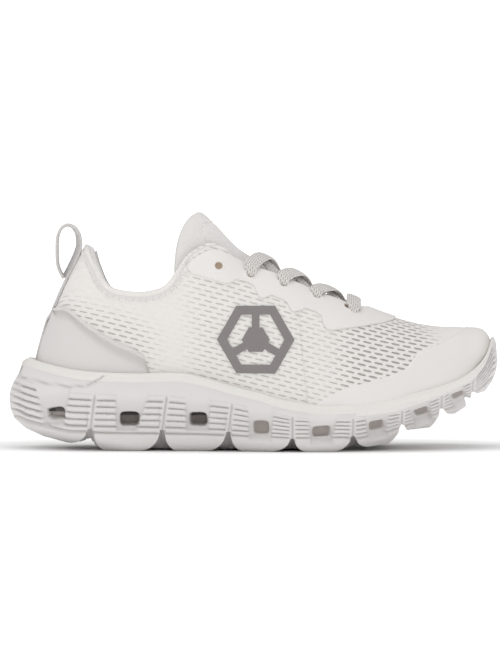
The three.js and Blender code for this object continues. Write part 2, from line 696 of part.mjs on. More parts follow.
const group = new THREE.Group();
function piece(name, made, kind) {
  const { vertProperties, numVert, numProp, triVerts } = made.getMesh();
  const flat = new Float32Array(numVert * 3);
  for (let i = 0; i < numVert; i++)
    flat.set(vertProperties.subarray(i * numProp, i * numProp + 3), i * 3);
  const g = new THREE.BufferGeometry()
    .setAttribute("position", new THREE.BufferAttribute(flat, 3))
    .setIndex(new THREE.BufferAttribute(triVerts, 1));
  g.computeVertexNormals();
  const [colour, roughness] = MATERIALS[kind];
  const mesh = new THREE.Mesh(g, new THREE.MeshStandardMaterial({
    color: colour, roughness, metalness: 0,
  }));
  mesh.name = name;
  group.add(mesh);
}

const foam = midsole();
const split = NOTCHES[4][0];
piece("midsole_rear", foam.intersect(behindBend(split - 0.25)), "foam");
piece("midsole_front", foam.subtract(behindBend(split + 0.25)), "foam");
for (let i = 0; i < TREADS; i++) piece("tread_pad_" + (i + 1), tread(i), "tread");
piece("shank_plate", plate(), "plate");
piece("lasting_board", floorSlab(-MESH_T - 2 * GAP, GAP, GAP + BOARD_T), "board");
piece("insole", floorSlab(-MESH_T - 4 * GAP, 2 * GAP + BOARD_T, 2 * GAP + BOARD_T + INSOLE_T),
  "insole");
piece("quarter_lateral", quarter(-1), "mesh");
piece("quarter_medial", quarter(1), "mesh");
piece("vamp", vamp(), "mesh");
piece("toe_box", toeBox(), "mesh");
piece("toe_puff", toePuff(), "lining");
piece("toe_overlay", toeOverlay(), "overlay");
piece("eyestay_lateral", eyestay(-1), "overlay");
piece("eyestay_medial", eyestay(1), "overlay");
piece("heel_overlay", heelOverlay(), "overlay");
piece("heel_counter", heelCounter(), "board");
piece("collar_padding", collarPadding(), "padding");
piece("collar_lining", collarLining(), "lining");
piece("heel_strip", heelStrip(), "strap");
piece("loop_stem", loopBand().intersect(cutBox(0, LOOP_CUT - GAP / 2)), "strap");
piece("pull_loop", loopBand().intersect(cutBox(LOOP_CUT + GAP / 2, 300)), "strap");
piece("tongue", tongueWhole().intersect(foldSide(false)), "padding");
piece("tongue_tip", tongueWhole().intersect(foldSide(true)), "padding");
piece("lace", lace(), "lace");
piece("side_badge", badge(), "badge");

export default group;
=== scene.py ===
# A low running shoe for the right foot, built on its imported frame.
# The toe points along +X and the lateral side faces -Y. Lengths are worked out in millimetres.
import math
import bmesh
import bpy
import numpy as np
from mathutils.bvhtree import BVHTree
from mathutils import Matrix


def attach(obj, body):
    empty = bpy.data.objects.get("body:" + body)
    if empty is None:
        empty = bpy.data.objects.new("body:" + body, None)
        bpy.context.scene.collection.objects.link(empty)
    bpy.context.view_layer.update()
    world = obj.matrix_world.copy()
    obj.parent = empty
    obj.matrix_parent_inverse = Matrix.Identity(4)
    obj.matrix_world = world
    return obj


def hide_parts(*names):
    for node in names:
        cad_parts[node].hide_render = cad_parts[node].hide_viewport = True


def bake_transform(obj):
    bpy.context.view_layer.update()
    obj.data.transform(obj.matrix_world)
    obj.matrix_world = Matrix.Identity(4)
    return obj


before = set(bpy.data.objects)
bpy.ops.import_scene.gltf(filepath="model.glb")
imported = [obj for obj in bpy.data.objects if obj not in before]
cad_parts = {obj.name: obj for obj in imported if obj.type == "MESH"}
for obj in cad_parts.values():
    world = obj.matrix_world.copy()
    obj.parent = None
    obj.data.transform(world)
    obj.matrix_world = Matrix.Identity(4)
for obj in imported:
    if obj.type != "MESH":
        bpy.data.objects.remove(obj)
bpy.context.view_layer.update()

# --- Studio --------------------------------------------------------------------------------------
# A wide white floor under a soft box, a weaker fill from the lateral side and a bright surround.
# The camera stands well back with a long lens, a little above the shoe.
world = bpy.data.worlds.new("studio")
bpy.context.scene.world = world
world.use_nodes = True
world.node_tree.nodes["Background"].inputs[0].default_value = (1, 1, 1, 1)
world.node_tree.nodes["Background"].inputs[1].default_value = 0.55
bpy.context.scene.view_settings.view_transform = "Standard"

AIM = (-0.002, -0.040, 0.0661)
DISTANCE = 8.0
LIFT_DEG = 2.6
VIEW_HEIGHT = 0.3763125
SENSOR = 36
FLOOR_RADIUS = 16000
camera = bpy.data.objects.new("camera", bpy.data.cameras.new("camera"))
camera.data.sensor_width = SENSOR
camera.data.lens = SENSOR * DISTANCE / VIEW_HEIGHT
camera.data.clip_end = 50
camera.location = (AIM[0], AIM[1] - DISTANCE * math.cos(math.radians(LIFT_DEG)),
                   AIM[2] + DISTANCE * math.sin(math.radians(LIFT_DEG)))
camera.rotation_euler = (math.radians(90 - LIFT_DEG), 0, 0)
bpy.context.collection.objects.link(camera)
bpy.context.scene.camera = camera


def soft_light(name, place, turn, size, watts):
    """An area light of that size, turned by Euler degrees."""
    data = bpy.data.lights.new(name, "AREA")
    data.shape = "RECTANGLE"
    data.size, data.size_y = size
    data.energy = watts
    lamp = bpy.data.objects.new(name, data)
    lamp.location = place
    lamp.rotation_euler = [math.radians(v) for v in turn]
    bpy.context.collection.objects.link(lamp)


soft_light("top_box", (-0.15, -0.25, 1.3), (-10, -6, 0), (1.1, 0.9), 5.6)
soft_light("front_fill", (0.2, -1.6, 0.7), (66, 0, 6), (1.4, 1.0), 1.2)


def principled(name, colour, rough, **sockets):
    """A node material with a Principled shader; returns the material, its node tree and the
    shader."""
    material = bpy.data.materials.new(name)
    material.use_nodes = True
    tree = material.node_tree
    shader = tree.nodes["Principled BSDF"]
    shader.inputs["Base Color"].default_value = (*colour, 1)
    shader.inputs["Roughness"].default_value = rough
    for key, value in sockets.items():
        shader.inputs[key.replace("_", " ")].default_value = value
    return material, tree, shader


def wire(tree, kind, inputs=None, **props):
    """Adds a node, sets its properties, and feeds its inputs with values or links."""
    node = tree.nodes.new(kind)
    for key, value in props.items():
        setattr(node, key, value)
    for key, value in (inputs or {}).items():
        if isinstance(value, bpy.types.NodeSocket):
            tree.links.new(value, node.inputs[key])
        else:
            node.inputs[key].default_value = value
    return node


def sum_of(tree, op, a, b=0.0, c=0.0):
    """A Math node's result."""
    return wire(tree, "ShaderNodeMath", {0: a, 1: b, 2: c}, operation=op).outputs[0]


def bumped(tree, shader, height, strength, distance):
    """Feeds a height into the shader's normal; distance is the bump's depth in metres."""
    bump = wire(tree, "ShaderNodeBump", {"Height": height, "Strength": strength,
                                         "Distance": distance})
    tree.links.new(bump.outputs[0], shader.inputs["Normal"])


def mixed(tree, share, low, high):
    """One colour or socket blended into another by share, from 0 to 1."""
    low, high = ((*c, 1) if isinstance(c, tuple) else c for c in (low, high))
    return wire(tree, "ShaderNodeMix", {0: share, 6: low, 7: high}, data_type="RGBA").outputs[2]


def on_object(tree, kind, scale, **more):
    """A texture in the piece's own coordinates; returns its first output."""
    coords = wire(tree, "ShaderNodeTexCoord").outputs["Object"]
    return wire(tree, kind, {"Vector": coords, "Scale": scale, **more}).outputs[0]


def noise(tree, scale, detail):
    """Fine noise in the piece's own coordinates."""
    return on_object(tree, "ShaderNodeTexNoise", scale, Detail=detail)


# The floor glows more the farther it lies from the shoe, so only the contact shadow shows on it.
floor_mat, floor_tree, floor_shader = principled("seamless_paper", (0.93, 0.93, 0.93), 0.9)
grain = wire(floor_tree, "ShaderNodeTexNoise", {"Scale": 60.0, "Detail": 4.0}).outputs[0]
bumped(floor_tree, floor_shader, grain, 0.05, 0.001)
place = wire(floor_tree, "ShaderNodeSeparateXYZ", {
    0: wire(floor_tree, "ShaderNodeTexCoord").outputs["Object"]})
far_x = sum_of(floor_tree, "POWER", sum_of(floor_tree, "DIVIDE", place.outputs[0], 0.155), 2.0)
far_y = sum_of(floor_tree, "POWER", sum_of(floor_tree, "DIVIDE", sum_of(
    floor_tree, "SUBTRACT", place.outputs[1], 0.02), 0.078), 2.0)
far = sum_of(floor_tree, "ADD", far_x, far_y)
away = wire(floor_tree, "ShaderNodeMapRange", {0: far, 1: 0.55, 2: 1.7, 3: 0.0, 4: 0.36})
outer = wire(floor_tree, "ShaderNodeMapRange", {0: far, 1: 11.0, 2: 200.0, 3: 0.0, 4: 0.6})
floor_shader.inputs["Emission Color"].default_value = (1, 1, 1, 1)
floor_tree.links.new(sum_of(floor_tree, "ADD", away.outputs[0], outer.outputs[0]),
                     floor_shader.inputs["Emission Strength"])


def mesh_from(name, points, faces, material, smooth=True):
    """A mesh object from an (n, 3) array in millimetres and a list of face index arrays."""
    mesh = bpy.data.meshes.new(name)
    mesh.from_pydata((np.asarray(points, float) * 0.001).tolist(), [], list(faces))
    mesh.materials.append(material)
    mesh.shade_smooth() if smooth else mesh.shade_flat()
    obj = bpy.data.objects.new(name, mesh)
    bpy.context.collection.objects.link(obj)
    return obj


def grid_faces(rows, cols, wrap=False, start=0, flip=False):
    """Quads of a rows by cols grid of points; wrap closes the columns into a ring."""
    i, j = np.meshgrid(np.arange(rows - 1), np.arange(cols if wrap else cols - 1), indexing="ij")
    k = (j + 1) % cols
    quads = np.stack([i * cols + j, (i + 1) * cols + j, (i + 1) * cols + k, i * cols + k], -1)
    quads = quads.reshape(-1, 4) + start
    return quads[:, ::-1] if flip else quads


rim_a = np.radians(np.arange(0, 360, 5))
disc = FLOOR_RADIUS * np.stack([np.cos(rim_a), np.sin(rim_a), 0 * rim_a], -1)
backdrop = mesh_from("floor", disc, [list(range(len(disc)))], floor_mat)

# --- Foam sole -----------------------------------------------------------------------------------
# One block of moulded foam, cut underneath into nine pods by deep grooves. Each pod side has two
# ribbed panels beside a funnel-shaped hollow with a window. A pale lip runs round the top edge.
# The thin rubber treads glued under the pods are not built here; their imported pads are hidden.
SOLE_PLAN = np.array([
    [0, 0, 0], [0.006, -10, 10], [0.03, -21, 21], [0.085, -32, 32], [0.165, -37.5, 37],
    [0.29, -37.5, 35.5], [0.43, -40, 33], [0.57, -46, 38], [0.68, -49.5, 46],
    [0.755, -47, 48.5], [0.845, -38.5, 46.5], [0.905, -29.5, 40.5], [0.95, -21, 33.5],
    [0.985, -9.5, 22.5], [1, 7, 7]])
LIP = np.array([
    [-127, 51.5], [-114.5, 48.4], [-96, 45.2], [-67.8, 43.9], [-44.7, 44.2], [-30.7, 42.2],
    [-12, 37], [3.7, 33.2], [14, 30], [33.5, 26.7], [43.6, 26.2], [67, 28.4], [94.8, 33.8],
    [113.7, 39.3], [124, 45], [130.5, 52], [133.5, 59], [135, 65]])
BOTTOM = np.array([
    [-138, 28], [-137.3, 22], [-135, 17], [-128.5, 11.3], [-118.4, 6.8], [-105.5, 3.5],
    [-98, 3.6], [-92.5, 5.5], [-88, 0.4], [-84, 0], [50, 0], [56.3, 1.6], [63, 2.2], [76, 3.8],
    [84, 8], [88.5, 11.4], [99.5, 12.2], [104.5, 16], [108.5, 19.6], [114, 19.8], [119.5, 23.2],
    [123.5, 27.5], [126.5, 31], [131, 32], [135.3, 38], [137.4, 44], [138, 49]])
HEEL_BACK = np.array([[-138, 28], [-137.6, 32], [-136, 37], [-132.5, 43], [-130.6, 49.5],
                      [-127, 51.5]])
NOTCHES = np.array([[-92, 12.4], [-51.5, 12], [-14.3, 11.3], [21.7, 7.5], [56.3, 8.4],
                    [84.1, 14], [106.6, 22.5], [124.6, 31.5]])
RIB_TOP = np.array([[-138, 42], [-131, 39.5], [-116, 35.7], [-102, 32.8], [-88, 32],
                    [-49, 31.2], [-14, 27.6], [21.7, 20], [56.3, 18.8], [84, 22.5],
                    [106.6, 31.0], [124.6, 39.5], [131, 48], [136, 59], [138, 63]])
RIB_FOOT = np.array([[-138, 19], [-129, 15], [-104, 9.7], [-92, 9.9], [-70, 9.6], [-30, 9],
                     [21.7, 7.6], [50, 7.8], [60, 6.6], [75, 9.4], [84, 12.5], [92, 14],
                     [106, 20.5], [115, 23.5], [124, 30], [132, 35.5], [138, 43]])
HOLLOW_FLOOR = np.array([[-119.5, 32.5], [-96, 29.5], [-56, 28], [-12, 25], [24, 21], [42, 19.5],
                         [60, 20], [77, 22], [92, 26], [105, 30.5], [116, 35], [131.5, 43.5]])
# Window: middle x, middle z, width, height, tilt, depth; then hollow: left and right reach, flare.
WINDOWS = np.array([
    [-112.5, 20.4, 11.0, 8.6, 10, 5.5, 7.6, 6.0, 0.42],
    [-69.7, 18.2, 10.6, 8.4, 0, 13, 7.4, 5.6, 0.38],
    [-31.6, 18.2, 9.6, 8.4, 0, 13, 6.4, 6.2, 0.08],
    [3.6, 13.9, 9.0, 9.2, 0, 4.5, 6.6, 6.4, 0.10],
    [38.5, 11.5, 11.2, 7.4, 2, 4.5, 6.9, 6.9, 0.25],
    [70.6, 13.3, 8.4, 6.8, 8, 4.0, 6.2, 5.4, 0.35],
    [96.2, 19.7, 8.4, 6.2, 18, 3.4, 6.2, 4.8, 0.20],
    [117.2, 28.8, 7.2, 5.2, 26, 3.0, 5.2, 4.2, 0.10]])


def along(table, x, column=1):
    """A table's column read at x by straight lines."""
    return np.interp(x, table[:, 0], table[:, column])


def spline(points, u):
    """Uniform Catmull-Rom curve through points at positions u counted in points, ends run
    straight."""
    p = np.asarray(points, float)
    p = np.vstack([2 * p[0] - p[1], p, 2 * p[-1] - p[-2]])
    u = np.clip(u, 0, len(p) - 3 - 1e-9)
    i = np.floor(u).astype(int)
    w = (u - i)[..., None]
    a, b, c, d = p[i], p[i + 1], p[i + 2], p[i + 3]
    return 0.5 * (2 * b + (c - a) * w + (2 * a - 5 * b + 4 * c - d) * w ** 2
                  + (3 * b - a - 3 * c + d) * w ** 3)


def smooth_table(points, steps=16):
    """The same table with a spline's points between its own, for reading as height over x."""
    n = (len(points) - 1) * steps
    dense = spline(points, np.arange(n + 1) / steps)
    dense[:, 0] = np.maximum.accumulate(dense[:, 0])
    return dense


def unit(v):
    """Vectors brought to length one."""
    return v / (np.linalg.norm(v, axis=-1, keepdims=True) + 1e-9)


def smoothed(v, times):
    """Rows averaged with their neighbours, one part, two parts and one part, that many times."""
    v = v.copy()
    for _ in range(times):
        v[1:-1] = (v[:-2] + 2 * v[1:-1] + v[2:]) / 4
    return v


def run_of(path):
    """Distance along a path at each of its points."""
    return np.concatenate([[0], np.cumsum(np.linalg.norm(np.diff(path, axis=0), axis=1))])


def read_along(places, run, values):
    """Three-column values read at distances along a path."""
    return np.stack([np.interp(places, run, values[:, k]) for k in range(3)], -1)


def step(lo, hi, x):
    """0 below lo, 1 above hi, and a smooth rise between."""
    w = np.clip((x - lo) / (hi - lo), 0, 1)
    return w * w * (3 - 2 * w)


PLAN = smooth_table(SOLE_PLAN)
LIP_LINE = smooth_table(LIP)


def pod_floor(x):
    """Underside height: the bottom line, raised at each groove by quarter ellipses, steep on the
    toe side of the groove and longer on its heel side."""
    base = along(BOTTOM, x)
    z = base.copy()
    for nx, top in NOTCHES:
        rise = np.maximum(top - base, 0)
        size = np.interp(nx, [60, 84, 106, 125], [1.0, 0.62, 0.5, 0.28])
        left = np.clip((nx - 1.4 - x) / (11.5 * size), 0, 1)
        right = np.clip((x - nx - 1.4) / (7.5 * size), 0, 1)
        d = np.where(x < nx, left, right)
        z = np.maximum(z, base + rise * (1 - np.sqrt(1 - (1 - d) ** 2)))
    return z


def sole_half(x, z, sign):
    """How far out the wall stands: the plan outline stretched between the heel and toe reach of
    the height z, pulled in near the underside, and proud by the lip above."""
    low = along(BOTTOM, x)
    heel = np.interp(z, [0, 3.5, 6.8, 11.3, 17.7, 23, 28, 37, 43, 51.5],
                     [-100, -107, -119, -129, -136, -137.6, -138, -136, -132.4, -127])
    toe = np.interp(z, [0, 10, 20, 31.5, 38, 44, 49, 56, 66], [92, 104, 118, 131, 135.4, 137.4,
                                                              138, 137.6, 135.5])
    share = np.clip((x - heel) / (toe - heel), 0, 1)
    y = along(PLAN, share, 1 if sign < 0 else 2)
    middle = 0.5 * (along(PLAN, share, 1) + along(PLAN, share, 2))
    tuck = 5.5 * (1 - np.clip((z - low) / 8.5, 0, 1)) ** 2.2
    lip = along(LIP_LINE, x)
    ends = np.clip(np.abs(y - middle) / 12, 0, 1)
    waist = 1.6 * np.sin(np.pi * np.clip((z - low) / (lip - low + 1e-6), 0, 1)) ** 2
    proud = 0.9 * step(-4.9, -4.2, z - lip) * (1 - step(-1.6, 0.2, z - lip)) - 1.3 * step(
        -1.5, 0.3, z - lip)
    return y + sign * ends * (proud + waist - 1.6 - tuck)


def side_relief(x, z):
    """Ribs, hollows, windows and the creases between pods: the depth cut into the wall in
    millimetres, then how much of the place is window and how much is shaded crevice."""
    top, rib_foot = along(RIB_TOP, x), along(RIB_FOOT, x)
    pod = np.searchsorted(NOTCHES[:, 0], x)
    count = np.array([6, 6, 6, 6, 5, 5, 5, 5, 6])[pod]
    level = (z - rib_foot) / (top - rib_foot)
    panel = step(-0.03, 0.03, level) * (1 - step(0.97, 1.03, level))
    phase = np.clip(level, 0, 1) * count
    saw = phase - np.floor(phase)
    pitch = (top - rib_foot) / count
    rib = (0.34 * pitch + 0.45) * (1 - step(0, 0.66, saw)) * step(0, 0.08, saw)
    depth = panel * (0.7 + rib)
    for nx, apex in NOTCHES:
        shift = nx + 0.14 * (z - apex) * (nx < 0)
        crease = np.exp(-((x - shift) / 0.75) ** 2) * (1 - step(0.9, 1.0, level))
        flat = np.exp(-((x - shift) / 1.9) ** 4)
        depth = depth * (1 - flat) + flat * panel * 0.45 + 1.1 * crease * step(-0.25, 0.0, level)
    shade = panel * np.exp(-((saw - 0.1) / 0.12) ** 2)
    window = np.zeros_like(x)
    for nx, apex in NOTCHES:
        near = np.abs(x - nx - 0.14 * (z - apex) * (nx < 0))
        shade = shade * step(1.2, 2.0, near) + np.exp(-(near / 0.5) ** 2) * step(
            -0.3, 0, level) * (1 - step(0.95, 1.05, level))
    for cx, cz, w, h, tilt, deep, left, right, flare in WINDOWS:
        c, s = math.cos(math.radians(tilt)), math.sin(math.radians(tilt))
        u = (x - cx) * c + (z - cz) * s
        v = -(x - cx) * s + (z - cz) * c
        lo = -left - 0.04 * v * (tilt < 20)
        hi = right + flare * np.maximum(v, -4)
        inside = step(-0.7, 0.7, u - lo) * (1 - step(-0.7, 0.7, u - hi))
        rise = np.interp(cx, RIB_TOP[:, 0], RIB_TOP[:, 1]) - cz
        inside *= step(-h * 0.5 - 3.2, -h * 0.5 - 1.6, v)
        near = (np.abs(x - cx) < 22) * inside
        bowl = 1.6 + 2.2 * (1 - step(-0.2 * rise, 1.1 * rise, v))
        bowl = bowl * (1 - step(0.75 * rise, 1.3 * rise, v))
        depth = depth * (1 - near) + near * bowl
        shade = shade * (1 - near) + near * 0.35 * (1 - step(0.1 * rise, 1.1 * rise, v))
        q = (np.abs(u / (w / 2)) ** 4 + np.abs(v / (h / 2)) ** 4) ** 0.25
        hole = 1 - step(0.86, 1.06, q)
        depth = depth * (1 - hole) + hole * (deep + 1.5)
        window = np.maximum(window, hole)
    groove = np.interp(x, [-131, -119.5, -102.7, -94, -86.6, -80], [41, 38.6, 36.6, 37.2, 41, 46])
    line = np.exp(-((z - groove) / 0.5) ** 2) * (x < -84) * (x > -134)
    return depth + 0.9 * line, window, np.clip(shade + 0.6 * line, 0, 1)


def sole_mesh():
    """Rings of wall, underside, wall, lip and inner hollow at stations along X, closed at both
    ends; the walls are cut in along their normals by the relief. Returns the points, the faces,
    and each point's share of window and of crevice, where the foam is painted with shade."""
    mid = np.arange(-130, 133, 0.6)
    ends = 8.0 * (np.linspace(0, 1, 22)[1:] ** 2)
    xs = np.concatenate([-138 + ends, mid[np.abs(mid) < 129.6], 138 - ends[::-1]])
    low = pod_floor(xs)
    top = np.where(xs < -127, along(HEEL_BACK, xs), along(LIP_LINE, xs))
    top = np.where(xs > 134, np.interp(xs, [134, 134.6, 136.2, 137.3, 138],
                                       [60.2, 62.4, 62.6, 59.5, 49.3]), top)
    low = np.minimum(low, top - 0.2)
    ribs = np.minimum(along(RIB_TOP, xs), top - 5.4)
    rib_foot = np.clip(along(RIB_FOOT, xs), low + 0.2, np.maximum(ribs - 1, low + 0.2))
    knots = np.stack([low, rib_foot, np.maximum(ribs, low + 0.5),
                      np.maximum(top - 5.2, low + 0.7), top], 1)
    v = np.concatenate([np.linspace(0, 1, 11)[:-1], 1 + np.linspace(0, 1, 49)[:-1],
                        2 + np.linspace(0, 1, 8)[:-1], 3 + np.linspace(0, 1, 15)])
    part = np.minimum(v.astype(int), 3)
    z = knots[:, part] * (1 - (v - part)) + knots[:, part + 1] * (v - part)
    x = np.repeat(xs[:, None], len(v), 1)
    walls = []
    holes, shades = [], []
    for sign in (-1, 1):
        y = sole_half(x, z, sign)
        y = np.where(sign * (y - 7 * (x > 60)) < 0.02, 7.0 * (x > 60) + sign * 0.02, y)
        p = np.stack([x, y, z], -1)
        du, dv = np.gradient(p, axis=0), np.gradient(p, axis=1)
        n = unit(np.cross(du, dv) * -sign)
        depth, hole, shade = side_relief(x, z)
        centre = np.abs(y - 7 * (x > 60))
        fade = step(0, 5, x + 138) * step(0, 1.5, 138 - x) * np.where(
            np.abs(x) > 108, step(0.5, 8.0, centre), 1)
        walls.append(p - n * (depth * fade)[..., None])
        holes.append(hole)
        shades.append(shade)
    across = np.linspace(0, 1, 14)[1:-1]
    edge_l, edge_m = walls[0][:, 0], walls[1][:, 0]
    under = edge_l[:, None] + (edge_m - edge_l)[:, None] * across[:, None]
    web = step(0.1, 0.24, across) * (1 - step(0.76, 0.9, across))
    base = np.where(xs < 66, np.minimum(along(BOTTOM, xs) + 0.8, low), low)
    under[..., 2] -= (low - base)[:, None] * web
    lip_l, lip_m = walls[0][:, -1], walls[1][:, -1]
    middle = 0.5 * (lip_l + lip_m)
    width = np.linalg.norm(lip_m - lip_l, axis=1)[:, None]
    pull = np.clip(4.2 / (width / 2 + 1e-6), 0, 0.96)
    in_l, in_m = lip_l + (middle - lip_l) * pull, lip_m + (middle - lip_m) * pull
    floor = along(HOLLOW_FLOOR, xs)
    drop = np.where(xs < 131.6, np.minimum(floor, in_l[:, 2] - 0.5), in_l[:, 2] - 0.2)
    deep_l, deep_m = in_l.copy(), in_m.copy()
    deep_l[:, 2], deep_m[:, 2] = drop, drop
    ring = np.concatenate([walls[0][:, ::-1], under, walls[1], in_m[:, None], deep_m[:, None],
                           deep_l[:, None], in_l[:, None]], 1)
    rows, cols = ring.shape[:2]
    heel_cap = np.stack([np.zeros(cols - 2, int), np.arange(1, cols - 1), np.arange(2, cols)], -1)
    toe_cap = (heel_cap + (rows - 1) * cols)[:, ::-1]
    faces = grid_faces(rows, cols, wrap=True).tolist() + heel_cap.tolist() + toe_cap.tolist()
    marks = np.zeros((2, rows, cols))
    for mark, (left, right) in zip(marks, (holes, shades)):
        mark[:, :len(v)] = left[:, ::-1]
        mark[:, len(v) + len(across):2 * len(v) + len(across)] = right
    return ring, faces, *marks


def attribute(tree, name):
    """A stored number as a value socket."""
    return wire(tree, "ShaderNodeAttribute", attribute_name=name).outputs["Fac"]


foam_mat, tree, shader = principled("moulded_foam", (0.78, 0.755, 0.745), 0.6)
shader.inputs["Subsurface Weight"].default_value = 0.06
shader.inputs["Subsurface Radius"].default_value = (0.004, 0.003, 0.0025)
speck = noise(tree, 900.0, 3.0)
mottle = noise(tree, 30.0, 2.0)
tint = mixed(tree, mottle, (0.785, 0.762, 0.75), (0.815, 0.79, 0.778))
lip_tint = mixed(tree, attribute(tree, "lip"), tint, (0.85, 0.825, 0.79))
# Painted shade: the windows are painted dark grey-brown for the shade deep inside them.
window_shade_tint = mixed(tree, attribute(tree, "window"), lip_tint, (0.37, 0.33, 0.305))
black_tint = mixed(tree, attribute(tree, "plate"), window_shade_tint, (0.012, 0.011, 0.011))
# Painted shade: rib crevices, the creases between pods, the lower hollows and the heel groove line
# are painted darker, where shade falls.
crevice_shade_tint = mixed(tree, sum_of(tree, "MULTIPLY", attribute(tree, "crevice"), 0.62),
             black_tint, (0.36, 0.33, 0.315))
tree.links.new(crevice_shade_tint, shader.inputs["Base Color"])
bumped(tree, shader, speck, 0.12, 0.0004)

ring, faces, hole, crevice = sole_mesh()
sole = mesh_from("foam_sole", ring.reshape(-1, 3), faces, foam_mat)


def paint(obj, name, values):
    """Stores one number per vertex for the materials to read."""
    layer = obj.data.attributes.new(name, "FLOAT", "POINT")
    layer.data.foreach_set("value", np.asarray(values, np.float32).ravel())


z_over = ring[..., 2] - along(LIP_LINE, ring[..., 0])
paint(sole, "lip", step(-4.8, -4.3, z_over))
# The window and crevice marks carry painted shade into the foam's colour.
paint(sole, "window", hole)
paint(sole, "crevice", crevice)
dark = np.zeros_like(hole)
for cx, cz, *_ in WINDOWS[:3]:
    near = np.abs(ring[..., 0] - cx) < 8
    dark = np.maximum(dark, near * step(0.6, 1.6, ring[..., 2] - cz - 0.6))
paint(sole, "plate", dark * (hole > 0.5))
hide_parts("midsole_rear", "midsole_front", *[f"tread_pad_{i}" for i in range(1, 9)])
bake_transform(sole)

# --- Knitted upper -------------------------------------------------------------------------------
# One seamless sock of engineered mesh over the foot, open at the ankle and along the throat.
# Slanted rows of dash-shaped holes cover the forefoot and quarter, finer and fainter at midfoot.
RIBS = np.array([
    [-119.5, 33, 0, 0, -119.5, 33, 0, 2.4], [-117, 31.5, -12.5, 12.5, -121, 48, 0, 2.4],
    [-109, 31, -22.5, 22.5, -118, 62, 0, 2.4], [-96, 30, -28.5, 28.5, -112.5, 79, 0, 2.5],
    [-78, 29, -30.5, 30.5, -103, 100, 0, 2.6], [-56, 28.5, -31, 30, -90, 122, 0, 2.8],
    [-33, 27.5, -32, 29, -66, 144, 0, 2.8], [-12, 25.5, -34.5, 29, -31, 139, 0, 2.6],
    [6, 23.5, -39, 31, -8.5, 115, 0.5, 2.2], [24, 21.5, -43, 36, 14, 103, 1.5, 1.9],
    [42, 20, -45.5, 41, 36, 91.5, 3, 1.9], [60, 20.5, -45, 44, 56, 83, 4.5, 2],
    [77, 22.5, -40.5, 43.5, 75, 75.5, 6, 2.1], [92, 26.5, -34, 42, 92, 70.5, 7.5, 2.2],
    [105, 31, -27.5, 38, 106, 68.5, 8.5, 2.3], [116, 35.5, -20.5, 32.5, 119, 68, 8.5, 2.3],
    [125, 39.5, -12, 26, 129, 64.5, 8, 2.3], [130, 42.5, -3, 17.5, 132.5, 56, 7.5, 2.3],
    [131.5, 44, 7, 7, 131.5, 44, 7, 2.3]])
LAST = len(RIBS) - 1
COLLAR = smooth_table(np.array([
    [-96.5, 115.3], [-92.8, 114.8], [-89.7, 110.8], [-88.8, 104], [-86.9, 98.2], [-82.7, 93.7],
    [-77.7, 91.1], [-66.1, 89.6], [-56, 90.6], [-48.7, 94.2], [-44.2, 100.7], [-37.6, 110.3],
    [-29.3, 115.6], [-23.6, 117.2], [-14.3, 115.3], [-8.7, 112.5]]), 10)
THROAT = smooth_table(np.array([
    [-52, 26], [-30, 20.5], [-14, 18.5], [4, 16], [22, 14.4], [40, 13.2], [54, 12.2],
    [60.5, 10], [64, 6], [65.2, 0]]), 10)
QUARTER = math.pi / 2
KNIT_T = 1.5
ROW_PITCH, HOLE_PITCH = 2.85, 6.4


def foot(t, a, side):
    """Foot shape at rib position t (0 heel to 1 toe) and angle a (0 at the sole, a right angle at
    the crown): base and crown curves mixed by a superellipse of the rib's power."""
    u = np.clip(t, 0, 1) * LAST
    base = spline(RIBS[:, [0, 2 if side < 0 else 3, 1]], u)
    crown = spline(RIBS[:, [4, 6, 5]], u)
    power = np.interp(u, np.arange(LAST + 1), RIBS[:, 7])
    rise = np.abs(np.sin(a)) ** (2 / power)
    spread = np.cos(a)
    mix = np.stack([rise, 1 - spread, rise], -1)
    return base + (crown - base) * mix


def foot_normal(t, a, side):
    """Outward unit normal of the foot shape, from small steps in t and a."""
    a = np.clip(a, 0.06, None)
    along_t = foot(np.minimum(t + 0.004, 1), a, side) - foot(np.maximum(t - 0.004, 0), a, side)
    along_a = foot(t, a + 0.02, side) - foot(t, a - 0.02, side)
    n = unit(np.cross(along_t, along_a) * -side)
    end = (1 - step(0, 0.03, t))[..., None] * np.array([-1.0, 0, 0]) + step(0.985, 1, t)[
        ..., None] * np.array([1.0, 0, 0])
    return unit(n * (1 - np.linalg.norm(end, axis=-1, keepdims=True)) + end)


def on_foot(t, a, side, lift=0.0):
    """Foot point moved out by lift along its normal."""
    return foot(t, a, side) + foot_normal(t, a, side) * np.asarray(lift)[..., None]


def crossing(ts, side, beyond):
    """For each rib, the first angle up from the sole whose point is beyond a line, else the
    crown."""
    a = np.linspace(0.0, QUARTER, 500)
    grid = beyond(foot(np.repeat(ts[:, None], 500, 1), np.repeat(a[None], len(ts), 0), side))
    first = np.argmax(grid, axis=1)
    none = ~grid.any(axis=1)
    lo, hi = a[np.maximum(first - 1, 0)], a[first]
    for _ in range(12):
        middle = (lo + hi) / 2
        test = beyond(foot(ts, middle, side))
        lo, hi = np.where(test, lo, middle), np.where(test, middle, hi)
    return np.where(none, QUARTER, np.where(first == 0, 0.0, (lo + hi) / 2))


def in_opening(p):
    """Above the collar line, which dips a little lower on the medial side, or within the throat
    seen from above."""
    x, y, z = p[..., 0], p[..., 1], p[..., 2]
    collar = np.interp(x, COLLAR[:, 0], COLLAR[:, 1], left=999, right=999)
    middle = np.interp(x, RIBS[6:, 4], RIBS[6:, 6])
    half = np.interp(x, THROAT[:, 0], THROAT[:, 1], left=-1, right=-1)
    collar = collar - 2.6 * step(0, 14, y) * step(-88, -80, x) * (1 - step(-46, -38, x))
    return (z > collar) | ((np.abs(y - middle) < half) & (z > 60))


def above(line):
    """Test for a point above a side-view line; outside the line's span nothing is above."""
    line = np.asarray(line, float)
    return lambda p: p[..., 2] > np.interp(p[..., 0], line[:, 0], line[:, 1], left=999, right=999)


